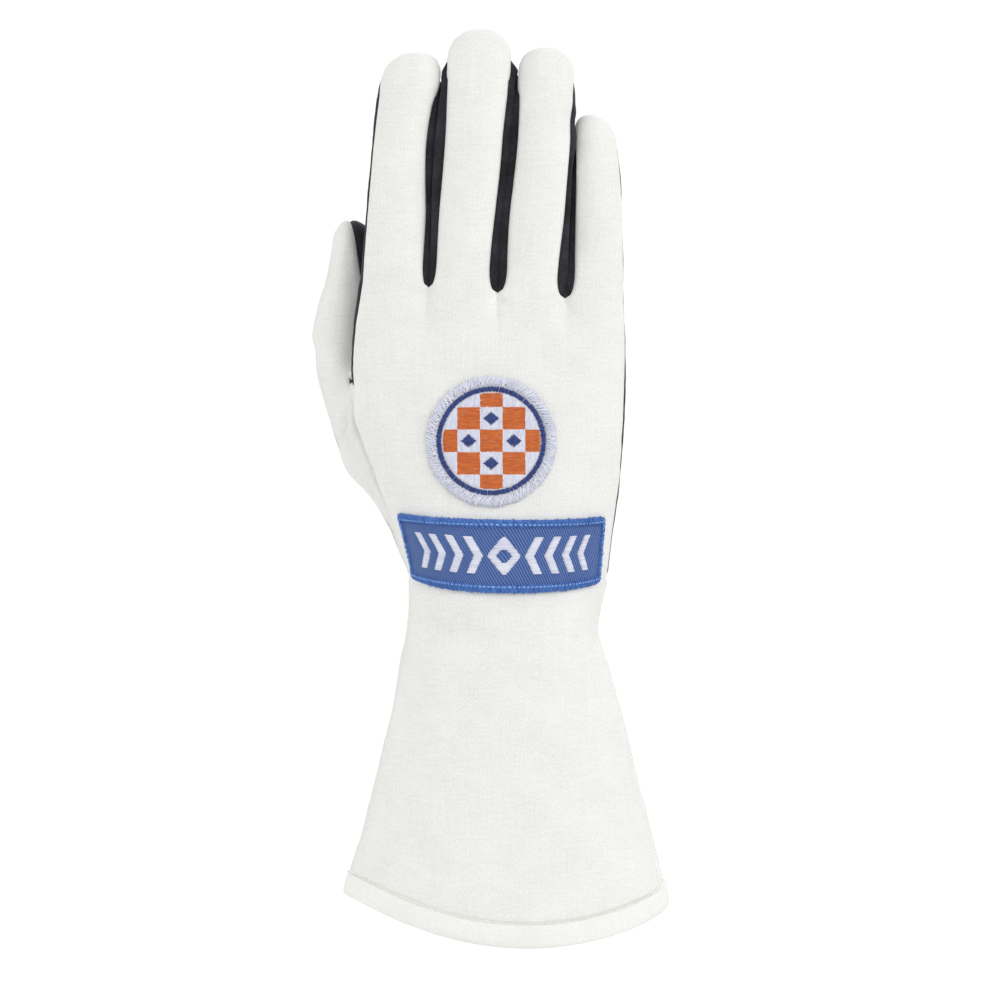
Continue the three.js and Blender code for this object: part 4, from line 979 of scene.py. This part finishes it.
# Finishes
class Finish:
    """A material and its slot, with short calls that add nodes. The weave is millimetres of cloth."""

    def __init__(self, name, slot, roughness, specular, sheen=0.0, sheen_roughness=0.5):
        self.slot = slot
        self.material = bpy.data.materials.new(name)
        self.material.use_nodes = True
        self.tree = self.material.node_tree
        self.tree.nodes.clear()
        self.shader = self.node("BsdfPrincipled", {
            "Roughness": roughness,
            "Specular IOR Level": specular,
            "Sheen Weight": sheen,
            "Sheen Roughness": sheen_roughness,
        })
        self.node("OutputMaterial", {"Surface": self.shader.outputs["BSDF"]})
        self.weave = self.node("UVMap", uv_map="weave").outputs["UV"]
        self.place = self.node("TexCoord").outputs["Object"]

    def node(self, kind, inputs=None, **settings):
        made = self.tree.nodes.new("ShaderNode" + kind)
        for key, value in settings.items():
            setattr(made, key, value)
        for key, value in (inputs or {}).items():
            if isinstance(value, bpy.types.NodeSocket):
                self.tree.links.new(value, made.inputs[key])
            else:
                made.inputs[key].default_value = value
        return made

    def math(self, operation, a, b=0.0):
        return self.node("Math", {0: a, 1: b}, operation=operation).outputs[0]

    def times(self, a, b):
        return self.math("MULTIPLY", a, b)

    def add(self, *terms):
        """The sum of values. A term may be a value with its weight."""
        total, *others = [self.times(*term) if isinstance(term, tuple) else term for term in terms]
        for other in others:
            total = self.math("ADD", total, other)
        return total

    def wave(self, turns):
        return self.math("SINE", self.times(turns, 2 * math.pi))

    def weave_axes(self):
        return self.node("SeparateXYZ", {"Vector": self.weave}).outputs[:2]

    def noise(self, vector, scale=1.0, detail=2.0):
        return self.node("TexNoise", {"Vector": vector, "Scale": scale, "Detail": detail}).outputs[0]

    def cloth(self, across, up, detail=3.0):
        """Noise over the weave, with so many spots a millimetre across and up."""
        spots = self.node("Mapping", {"Vector": self.weave, "Scale": (across, up, 1.0)}).outputs[0]
        return self.noise(spots, detail=detail)

    def between(self, value, low, high, to_low=0.0, to_high=1.0):
        inputs = {0: value, 1: low, 2: high, 3: to_low, 4: to_high}
        return self.node("MapRange", inputs, interpolation_type="SMOOTHSTEP").outputs[0]

    def mix(self, factor, a, b):
        inputs = {0: factor, 6: a, 7: b}
        return self.node("Mix", inputs, data_type="RGBA", clamp_factor=True).outputs[2]

    def done(self, colour, height, depth, strength):
        """Sets the colour and raises the surface by up to depth millimetres."""
        bump = self.node("Bump", {"Height": height, "Distance": depth * MM, "Strength": strength})
        self.tree.links.new(colour, self.shader.inputs["Base Color"])
        self.tree.links.new(bump.outputs[0], self.shader.inputs["Normal"])
        return self.material, self.slot


def rgb(*values):
    """A colour given as the 0 to 255 values that a screen shows."""
    return tuple(((v / 255 + 0.055) / 1.055) ** 2.4 for v in values) + (1.0,)


# Pitches in millimetres: stitches of the knit across and up, and the turns of a thread's plies
WALE = 0.84
COURSE = 0.66
TWIST = 0.55


def knit_finish(name, light, dark):
    """Fine jersey: columns of stitches whose two legs lean together, slubs, soft mottling and lint. The
    grooves between the legs are painted darker as shade.
    """
    f = Finish(name, "white_knit", 0.88, 0.2, 0.2, 0.5)
    across, up = f.weave_axes()
    wale = f.add(f.math("DIVIDE", across, WALE), (f.cloth(0.35, 0.25, 2.0), 3.0))
    beside = f.times(f.math("ABSOLUTE", f.math("SUBTRACT", f.math("FRACT", wale), 0.5)), 2.0)
    leg = f.math("SINE", f.times(beside, math.pi))
    lean = f.wave(f.add(f.math("DIVIDE", up, COURSE), (beside, 0.5)))
    loop = f.times(leg, f.between(lean, -1.2, 1.0, 0.72, 1.0))
    slub = f.cloth(1.3, 0.05)
    weft = f.cloth(0.13, 0.95, 4.0)
    cloud = f.cloth(0.06, 0.07)
    fuzz = f.cloth(1.5, 1.1)
    lint = f.between(f.cloth(1.9, 1.3, 4.0), 0.76, 0.82)
    # shade mixes random tone (slub, weft, cloud, fuzz) with painted shade: loop darkens the grooves
    # between the stitch legs
    shade = f.add((loop, 0.3), (slub, 0.16), (weft, 0.2), (cloud, 0.2), (fuzz, 0.46))
    colour = f.mix(f.between(shade, 0.3, 1.0), dark, light)
    colour = f.mix(f.times(lint, 0.5), colour, rgb(196, 190, 176))
    return f.done(colour, f.add((loop, 0.5), fuzz, (slub, 0.5)), 0.16, 0.45)


def suede_finish(name):
    """Brushed suede: nap that lies in patches, fine grain and a little pale lint."""
    f = Finish(name, "black_suede", 0.95, 0.15, 0.35, 0.55)
    f.shader.inputs["Sheen Tint"].default_value = rgb(150, 150, 165)
    nap = f.noise(f.place, 85.0, 3.0)
    grain = f.noise(f.place, 1900.0, 3.0)
    pore = f.noise(f.place, 620.0, 4.0)
    lint = f.between(f.noise(f.place, 1150.0, 3.0), 0.72, 0.8)
    shade = f.add((nap, 0.55), (grain, 0.3), (pore, 0.3))
    colour = f.mix(f.between(shade, 0.38, 0.82), rgb(30, 29, 32), rgb(60, 60, 66))
    colour = f.mix(f.times(lint, 0.55), colour, rgb(134, 134, 140))
    return f.done(colour, f.add(grain, (pore, 0.8)), 0.2, 0.6)


def thread_finish(name, slot, light, dark, roughness=0.42):
    """Embroidery thread: plies that wind round it, painted lighter on their crests and darker between
    them as highlight and shade, and strands that differ a little in tone.
    """
    f = Finish(name, slot, roughness, 0.45, 0.25, 0.35)
    along, beside = f.weave_axes()
    plies_with_painted_shine = f.between(f.wave(f.add(f.math("DIVIDE", along, TWIST), (beside, 1.6))), -1.0, 1.0)
    each = f.node("NewGeometry").outputs["Random Per Island"]
    fuzz = f.noise(f.place, 2600.0, 2.0)
    # The twist paints the light and dark colours in stripes as painted highlight and shade; each strand
    # and the fuzz vary the tone at random
    shade = f.add((plies_with_painted_shine, 0.4), (each, 0.35), (fuzz, 0.35))
    return f.done(f.mix(f.between(shade, 0.1, 0.95), dark, light), f.add(plies_with_painted_shine, fuzz), 0.07, 0.7)


def twill_finish(name, slot, light, dark, pitch):
    """Twill: ribs of thread that climb to the right, each one broken where the weft covers it. The
    valleys between the ribs are painted darker as shade.
    """
    f = Finish(name, slot, 0.7, 0.3, 0.3, 0.4)
    across, up = f.weave_axes()
    rib_and_valley_shade = f.between(f.wave(f.math("DIVIDE", f.add(across, (up, 0.62)), pitch)), -1.0, 0.8)
    cross = f.math("SUBTRACT", across, f.times(up, 1.1))
    weft = f.between(f.wave(f.math("DIVIDE", cross, pitch * 0.8)), -1.0, 1.0)
    cloud = f.cloth(0.25, 0.25)
    fuzz = f.cloth(6.0, 6.0, 2.0)
    # The rib and weft terms paint the valleys of the weave darker as shade; cloud and fuzz are random
    # tone
    shade = f.add((rib_and_valley_shade, 0.5), (weft, 0.14), (cloud, 0.24), (fuzz, 0.2))
    height = f.add(rib_and_valley_shade, (weft, 0.35), (fuzz, 0.4))
    return f.done(f.mix(f.between(shade, 0.1, 0.95), dark, light), height, 0.18, 0.8)


KNIT = knit_finish("white knit", rgb(253, 253, 250), rgb(222, 222, 218))
# The hem band is the white knit painted lighter: painted light that makes the band brighter than the cuff
PAINTED_LIGHT_HEM_KNIT = knit_finish("hem knit painted lighter", rgb(254, 254, 251), rgb(232, 231, 226))
SUEDE = suede_finish("black suede")
# Each thread's pair is a lit and a shaded colour, which thread_finish paints along the plies as highlight
# and shade
WHITE_THREAD = thread_finish("white thread", "white_thread", rgb(246, 247, 255), rgb(204, 208, 230))
SEAM_THREAD = thread_finish("seam thread", "white_thread", rgb(255, 254, 250), rgb(242, 240, 232), 0.6)
ORANGE_THREAD = thread_finish("orange thread", "patch_satin", rgb(232, 128, 58), rgb(186, 86, 34))
BLUE_THREAD = thread_finish("blue thread", "blue_thread", rgb(60, 84, 156), rgb(28, 40, 94))
EDGE_THREAD = thread_finish("edge thread", "blue_thread", rgb(92, 146, 226), rgb(34, 72, 152))
DASH_THREAD = thread_finish("dash thread", "blue_thread", rgb(160, 200, 250), rgb(104, 154, 222))
BLUE_TWILL = twill_finish("blue twill", "blue_twill", rgb(100, 130, 190), rgb(44, 68, 132), 1.05)
WHITE_TWILL = twill_finish("white twill", "white_thread", rgb(248, 248, 252), rgb(222, 222, 234), 0.6)


# Panels
for seed, panel in enumerate(PANELS):
    mesh = shell(panel, relief(panel, 5 * seed))
    make_piece(panel.name, mesh, KNIT if panel.is_knit else SUEDE, panel.nodes)


def lattice(grid, weave, round_rows=False, round_columns=False):
    """The mesh of one grid, which may close on itself. Its weave has one more place where it closes."""
    ids = np.arange(grid.shape[0] * grid.shape[1]).reshape(grid.shape[:2])
    if round_rows:
        ids = np.concatenate([ids, ids[:1]])
    if round_columns:
        ids = np.concatenate([ids, ids[:, :1]], axis=1)
    turns = corners_of(weave).reshape(-1, 4, 2)
    return grid.reshape(-1, 3), corners_of(ids).reshape(-1, 4).tolist(), turns.tolist()


def strands(paths, width, height, sides=5):
    """Half-round strands along flat paths of (u, v, h), given as (strands, steps, 3). The result is a
    mesh in the same flat coordinates. width and height may differ along a path."""
    count, samples = paths.shape[:2]
    width, height = (np.broadcast_to(size, (count, samples))[..., None] for size in (width, height))
    ahead = unit(np.gradient(paths[..., :2], axis=1))
    beside = np.stack([ahead[..., 1], -ahead[..., 0]], -1)[:, :, None]
    turn = np.linspace(0, math.pi, sides)
    flat = np.repeat(paths[:, :, None], sides, axis=2)
    flat[..., :2] += beside * (np.cos(turn) * width / 2)[..., None]
    flat[..., 2] += np.sin(turn) * height
    run = run_length(paths, 1)[..., None]
    weave = np.stack(np.broadcast_arrays(run, np.linspace(0, 1, sides) * width), -1)
    ids = np.arange(count * samples * sides).reshape(count, samples, sides)
    cells = [ids[:, :-1, :-1], ids[:, 1:, :-1], ids[:, 1:, 1:], ids[:, :-1, 1:]]
    quads = np.stack(cells, -1).reshape(-1, 4)
    return flat.reshape(-1, 3), quads.tolist(), weave.reshape(-1, 2)[quads].tolist()


def satin(ends, base, width=0.46, height=0.3, samples=5, sink=0.25, point=0.55):
    """Straight stitches between pairs of ends, sunk into the cloth and narrower at both of their ends."""
    t = np.linspace(0, 1, samples)
    flat = lerp(ends[0][:, None], ends[1][:, None], t[:, None])
    arch = quarter_round(np.minimum(t, 1 - t) / 0.32)
    level = np.broadcast_to((base - sink + sink * arch)[:, None], flat[..., :1].shape)
    narrow = lerp(point, 1, arch)
    return strands(np.concatenate([flat, level], -1), width * narrow, height * narrow)


# Patches are made flat in (u, v, h), millimetres along and off the cloth, and then laid on the skin
def skin_point(angle, z):
    web = web_height(section_point(angle, KNUCKLES)[0])
    x, y = section_point(angle, hand_section(z / web))
    return points(x, y, z)


def lifted(angle, z, lift):
    across = skin_point(angle + 0.01, z) - skin_point(angle - 0.01, z)
    up = skin_point(angle, z + 2) - skin_point(angle, z - 2)
    return skin_point(angle, z) + unit(np.cross(across, up)) * lift[..., None]


def lay_round(flat):
    """u runs to the right and v up from the middle of the round patch."""
    x, z = ROUND_X + flat[..., 0], ROUND_Z + flat[..., 1]
    return lifted(section_angle(x, hand_section(z / web_height(x))), z, flat[..., 2])


wrist_left, wrist_right, wrist_sag = (line(WRIST_PATCH, key) for key in ("left", "right", "sag"))


def lay_wrist(flat):
    """u runs to the right from the middle of the wrist patch and v down from its upper edge."""
    across, down = flat[..., 0] / WRIST_HALF, flat[..., 1] / WRIST_HEIGHT
    angle = np.radians(across * np.where(across < 0, wrist_left(down), wrist_right(down)))
    level = WRIST_HEIGHT * (1 - down - wrist_sag(down) * (1 - across**2)) - WRIST_TILT * across
    return lifted(angle, WRIST_BOTTOM + level, flat[..., 2])


def laid(name, lay, mesh, finish, *nodes):
    flat, faces, weaves = mesh
    make_piece(name, (lay(flat), faces, weaves), finish, nodes)


def wobble(ends, amount):
    return ends + RNG.normal(0, amount, ends.shape)


# Both patches: height of the ground, pitch of the stitches and a cross-section of the overlocked edge,
# which has two layers of loops that lean opposite ways over a core
GROUND = 1.2
STITCH = 0.42
LOOP_ALONG = np.array([0, 0.06, 0.24, 0.5, 0.76, 0.95, 1])
LOOP_RISE = np.array([0.5, 0.84, 1, 1.03, 0.93, 0.6, 0.1])
LOOP_HEIGHTS = (1.5, 1.74)
CORE_BASE = 0.2


def edge_loops(inside, outside, height, jitter, lean):
    """Overlock loops from inside to outside points, up over the edge and down to the cloth."""
    inside, outside = wobble(inside, jitter), wobble(outside, jitter)
    flat = lerp(inside[:, None], outside[:, None], LOOP_ALONG[:, None])
    side = np.stack([outside[:, 1] - inside[:, 1], inside[:, 0] - outside[:, 0]], -1)
    flat = flat + unit(side)[:, None] * (lean * (LOOP_ALONG - 0.5))[:, None]
    high = height * LOOP_RISE * (1 + RNG.normal(0, 0.05, (len(inside), 1)))
    return np.concatenate([flat, high[..., None]], -1)


def overlock(inside, outside, jitters, leans, width, height):
    layers = [edge_loops(inside, outside, *layer) for layer in zip(LOOP_HEIGHTS, jitters, leans)]
    return strands(np.concatenate(layers), width, height)


def core(spots, width, height):
    return strands(points(spots[:, 0], spots[:, 1], CORE_BASE)[None], width, height, 9)


# Round patch: a chequer of orange and white satin inside a blue ring
FILL_RADIUS = 17.1
RING = (17.5, 19.5)
CHECK_CELL = 8
FILL_LENGTH = 2.4
FILL_LAP = 0.3
SHORTEST_ROW = 0.8
SHORTEST_STITCH = 0.5
DIAMOND_HALF = 2.7
DIAMOND_REACH = 2.5


def compass(turn):
    return np.stack([np.sin(turn), np.cos(turn)], -1)


def disc_mesh(radius, edge_lift):
    """A flat disc with a rounded edge."""
    radii = np.concatenate([np.linspace(0.01, 1, 12), [1.01, 1.01]]) * radius
    heights = np.concatenate([np.full(12, GROUND), [GROUND - 0.3, edge_lift]])
    ways = compass(steps(0, 2 * math.pi, 96)[:-1])
    grid = points(radii[:, None] * ways[:, 0], radii[:, None] * ways[:, 1], heights[:, None])
    close = np.concatenate([grid, grid[:, :1]], axis=1)
    return lattice(grid, close[..., :2], round_columns=True)


def cells():
    """Middles of the chequer's cells, and whether each is orange."""
    count = int(FILL_RADIUS // CHECK_CELL) + 1
    for column in range(-count, count + 1):
        for row in range(-count, count + 1):
            yield column * CHECK_CELL, row * CHECK_CELL, (column + row) % 2 == 0


def fill_stitches():
    """Ends of the stitches of the orange cells, which run across, and of the white ones, which run up."""
    found = {True: [], False: []}
    for u, v, is_orange in cells():
        own, middle = (v, u) if is_orange else (u, v)
        for step in np.arange(0.5, CHECK_CELL / STITCH):
            level = own + (step * STITCH - CHECK_CELL / 2)
            if abs(level) >= FILL_RADIUS:
                continue
            reach = math.sqrt(FILL_RADIUS**2 - level**2)
            low, high = max(middle - CHECK_CELL / 2, -reach), min(middle + CHECK_CELL / 2, reach)
            if high - low < SHORTEST_ROW:
                continue
            marks = np.arange((int(step) % 3) * FILL_LENGTH / 3 + low, high, FILL_LENGTH)
            inside = (mark for mark in marks if low + SHORTEST_STITCH < mark < high - SHORTEST_STITCH)
            cuts = [low, *inside, high]
            for a, b in zip(cuts[:-1], np.add(cuts[1:], FILL_LAP)):
                ends = ((a, level), (b, level)) if is_orange else ((level, a), (level, b))
                found[is_orange].append(ends)
    return np.array(found[True]), np.array(found[False])


def diamond_stitches():
    found = []
    for u, v, is_orange in cells():
        if not is_orange and math.hypot(u, v) < FILL_RADIUS - 2:
            for off in np.arange(-DIAMOND_REACH, DIAMOND_REACH + 0.01, STITCH * 0.9):
                half = DIAMOND_HALF - abs(off)
                found.append(((u + off, v - half), (u + off, v + half)))
    return np.array(found)


def ring_ends(inner, outer, pitch):
    ways = compass(np.arange(0, 2 * math.pi, pitch / ((inner + outer) / 2)))
    return ways * inner, ways * outer


disc = disc_mesh(ROUND_RADIUS - BORDER_WIDTH + 0.6, 0.1)
laid("round_ground", lay_round, disc, WHITE_TWILL, "round_patch")
orange, white = fill_stitches()
for name, ends, lift, sink, point, finish in (
    ("round_orange", orange, 0, 0.1, 0.85, ORANGE_THREAD),
    ("round_white", white, 0, 0.1, 0.85, WHITE_THREAD),
    ("round_diamonds", diamond_stitches(), 0.35, 0.3, 0.55, BLUE_THREAD),
):
    ends = wobble(ends, 0.06).swapaxes(0, 1)
    laid(name, lay_round, satin(ends, GROUND + lift, 0.5, sink=sink, point=point), finish)
ring = [wobble(ends, 0.07) for ends in ring_ends(*RING, STITCH)]
laid("round_ring", lay_round, satin(ring, GROUND + 0.12), BLUE_THREAD)
inner, outer = ring_ends(ROUND_RADIUS - BORDER_WIDTH - 0.6, ROUND_RADIUS + 0.1, 0.76)
loops = overlock(inner, outer, (0.24, 0.26), (-1.9, 1.7), 0.5, 0.36)
laid("round_edge", lay_round, loops, WHITE_THREAD, "round_patch_border")
middle = compass(steps(0, 2 * math.pi, 240)) * (ROUND_RADIUS - BORDER_WIDTH / 2)
laid("round_edge_core", lay_round, core(middle, BORDER_WIDTH + 0.1, 1.35), WHITE_THREAD)


# Wrist patch: blue twill with a bright overlocked edge and a row of white chevrons
INNER = BORDER_WIDTH - 0.4
DASH_HALF = 0.52
MOTIF_V = WRIST_HEIGHT * 0.5
MOTIF_HALF = 5.9
CHEVRONS = (11.6, 18.9, 26.2, 33.5)
CHEVRON_LEAN = 3.4
CHEVRON_HALF = 1.75
LOZENGE_HALF = 5.2
HOLLOW_WIDTH, HOLLOW_HEIGHT = 2.2, 2.6


def rim_path(inset, step):
    """Points round the patch's outline at an inset, and the outward direction at each."""
    half, low, high = WRIST_HALF - inset, inset, WRIST_HEIGHT - inset
    corners = np.array([(-half, low), (half, low), (half, high), (-half, high), (-half, low)])
    spots, ways = [], []
    for a, b in zip(corners[:-1], corners[1:]):
        length = np.linalg.norm(b - a)
        count = int(round(length / step))
        ahead = (b - a) / length
        spots.append(lerp(a, b, ((np.arange(count) + 0.5) / count)[:, None]))
        ways.append(np.broadcast_to([ahead[1], -ahead[0]], (count, 2)))
    return np.concatenate(spots), np.concatenate(ways)


def sheet_mesh(half, low, high, height, columns, rows):
    u, v = np.meshgrid(steps(-half, half, columns), steps(high, low, rows))
    return lattice(points(u, v, height), np.stack([u, -v], -1))


def motif_stitches():
    """Ends of the stitches of a hollow lozenge between chevrons that point away from it."""
    found = []
    for off in np.arange(-MOTIF_HALF, MOTIF_HALF + 0.01, STITCH * 0.86):
        spans = []
        for side in (-1, 1):
            for middle in CHEVRONS:
                at = side * (middle - CHEVRON_LEAN * (1 - abs(off) / MOTIF_HALF))
                spans.append((at - CHEVRON_HALF, at + CHEVRON_HALF))
        half = LOZENGE_HALF * (1 - abs(off) / (MOTIF_HALF + 0.6))
        hollow = HOLLOW_WIDTH * (1 - abs(off) / HOLLOW_HEIGHT)
        spans += [(-half, -hollow), (hollow, half)] if hollow > 0.3 else [(-half, half)]
        found += [((a, MOTIF_V + off), (b, MOTIF_V + off)) for a, b in spans]
    return np.array(found)


sheet = sheet_mesh(WRIST_HALF - INNER, INNER, WRIST_HEIGHT - INNER, GROUND, 96, 24)
laid("wrist_ground", lay_wrist, sheet, BLUE_TWILL, "wrist_patch")
spots, ways = rim_path(BORDER_WIDTH / 2, 0.7)
inner, outer = spots - ways * BORDER_WIDTH / 2, spots + ways * BORDER_WIDTH / 2
loops = overlock(inner, outer, (0.16, 0.18), (-1.6, 1.5), 0.48, 0.32)
laid("wrist_edge", lay_wrist, loops, EDGE_THREAD, "wrist_patch_border")
rim, _ = rim_path(BORDER_WIDTH / 2, 1.0)
laid("wrist_edge_core", lay_wrist, core(np.concatenate([rim, rim[:2]]), BORDER_WIDTH, 1.3), EDGE_THREAD)
spots, ways = rim_path(BORDER_WIDTH * 0.7, 1.6)
ahead = np.stack([-ways[:, 1], ways[:, 0]], -1) * DASH_HALF
dashes = [wobble(ends, 0.05) for ends in (spots - ahead, spots + ahead)]
laid("wrist_dashes", lay_wrist, satin(dashes, 2.05, 0.56, 0.26), DASH_THREAD)
motif = wobble(motif_stitches(), 0.05).swapaxes(0, 1)
laid("wrist_motif", lay_wrist, satin(motif, GROUND + 0.3, 0.5, 0.34, 7, 0.45), WHITE_THREAD)


# Hem: a folded band sewn to the mouth of the cuff. Its profile goes once round the band, down and out
# from the edge of the cuff.
HEM_PROFILE = 30
HEM_LAP = 0.8
HEM_STITCH = 1.1
HEM_STITCH_LEVELS = (-0.7, 0.6)
turn = steps(0, 2 * math.pi, HEM_PROFILE)[:-1]
hem_down = 0.5 - 0.5 * signed_power(np.cos(turn), 0.72)
hem_out = (0.52 * signed_power(np.sin(turn), 0.9) - 0.08 * hem_down**2) * HEM_THICKNESS
hem_along = hem_down * (HEM_HEIGHT + HEM_LAP) - HEM_LAP
MOUTH_ANGLES = np.concatenate([FRONT_ANGLE, low_angle(BACK_ANGLE[LOW], 0)[1:-1]])


def mouth_frame(angle):
    """The edge of the cuff, and the directions down and out of it there."""
    edge = cuff_point(angle, 1)
    down = unit(edge - cuff_point(angle, 0.97))
    beside = cuff_point(angle + 0.01, 1) - cuff_point(angle - 0.01, 1)
    return edge, down, unit(np.cross(down, beside))


def closed(spots):
    return np.concatenate([spots, spots[:1]])


def hem_mesh():
    edge, down, out = mouth_frame(MOUTH_ANGLES)
    soft = 1 + 0.06 * cloth_noise(edge, 11, 40)
    for seam in (SEAM_LEFT, SEAM_RIGHT):
        soft -= 0.2 * bell(np.linalg.norm(edge - cuff_point(seam, 1), axis=1), 1.3)
    middle = edge - out * WALL / 2
    lift = hem_out * soft[:, None]
    grid = middle[:, None] + down[:, None] * hem_along[None, :, None] + out[:, None] * lift[..., None]
    arc, loop = run_length(closed(edge)), run_length(closed(np.stack([hem_along, hem_out], -1)))
    weave = np.stack(np.broadcast_arrays(arc[:, None], -loop), -1)
    return lattice(grid, weave, round_rows=True, round_columns=True)


mouth_arc = run_length(mouth_frame(MOUTH_ANGLES)[0])


def lay_mouth(flat):
    """u runs along the edge of the cuff and v down over it and over the band."""
    edge, down, out = mouth_frame(np.interp(flat[..., 0], mouth_arc, MOUTH_ANGLES))
    half = HEM_PROFILE // 2
    band = np.interp(flat[..., 1], hem_along[:half], hem_out[:half])
    level = flat[..., 2] + np.maximum(band - WALL / 2, 0)
    return edge + down * flat[..., 1:2] + out * level[..., None]


make_piece("hem_band", hem_mesh(), PAINTED_LIGHT_HEM_KNIT, ["hem"])
u = np.arange(0.5, mouth_arc[-1], HEM_STITCH)
high, low, next_high = (
    np.stack([u + HEM_STITCH * share, np.full_like(u, HEM_STITCH_LEVELS[down])], -1)
    for share, down in ((0, 0), (0.45, 1), (0.9, 0))
)
zigzag = [wobble(np.concatenate(ends), 0.06) for ends in ((high, low), (low, next_high))]
laid("hem_stitches", lay_mouth, satin(zigzag, 0.2, 0.36, 0.2, sink=0.2), SEAM_THREAD)


# Camera, lights, surroundings and floor
AIM = Vector((0, 0, 0.04))
LIGHTS = (
    ("key", (1.4, -0.8, 0.8), 1.0, 9),
    ("front", (0.3, -1.4, 1.1), 1.2, 7.5),
    ("fill", (-1.5, -0.2, 0.4), 1.2, 7),
    ("rear", (0.3, 1.2, 1.0), 1.2, 10),
)
AMBIENT = 0.58
BACKDROP = 1.05
FLOOR_RADIUS = 700
FLOOR_Z = -300

scene = bpy.context.scene
camera = bpy.data.objects.new("camera", bpy.data.cameras.new("camera"))
camera.data.lens = 150
camera.data.sensor_width = 36
camera.data.clip_end = 20
camera.location = (-0.0014, -1.5, 0.038)
camera.rotation_euler = (math.pi / 2, 0, 0)
scene.collection.objects.link(camera)
scene.camera = camera
scene.view_settings.view_transform = "Standard"

for name, at, size, power in LIGHTS:
    lamp = bpy.data.objects.new(name, bpy.data.lights.new(name, "AREA"))
    lamp.data.size, lamp.data.energy = size, power
    lamp.location = at
    lamp.rotation_euler = (AIM - Vector(at)).to_track_quat("-Z", "Y").to_euler()
    scene.collection.objects.link(lamp)

world = bpy.data.worlds.new("studio")
scene.world = world
world.use_nodes = True
tree = world.node_tree
tree.nodes.clear()
seen, strength, background, output = (
    tree.nodes.new("ShaderNode" + kind) for kind in ("LightPath", "MapRange", "Background", "OutputWorld")
)
strength.inputs["To Min"].default_value = AMBIENT
strength.inputs["To Max"].default_value = BACKDROP
background.inputs["Color"].default_value = (1, 1, 1, 1)
tree.links.new(seen.outputs["Is Camera Ray"], strength.inputs["Value"])
tree.links.new(strength.outputs["Result"], background.inputs["Strength"])
tree.links.new(background.outputs["Background"], output.inputs["Surface"])

turn = steps(0, 2 * math.pi, 128)[:-1]
radii = np.linspace(1, FLOOR_RADIUS, 12)[:, None]
grid = points(radii * np.cos(turn), radii * np.sin(turn), FLOOR_Z)
vertices, faces, _ = lattice(grid, np.zeros((12, 129, 2)), round_columns=True)
floor_mesh = bpy.data.meshes.new("floor")
floor_mesh.from_pydata((vertices * MM).tolist(), [], faces)
floor = bpy.data.objects.new("floor", floor_mesh)
paper = Finish("pale paper", None, 0.9, 0.2)
grain = paper.noise(paper.place, 900.0, 3.0)
tone = paper.mix(grain, rgb(238, 238, 238), rgb(246, 246, 246))
floor_mesh.materials.append(paper.done(tone, grain, 0.03, 1.0)[0])
scene.collection.objects.link(floor)
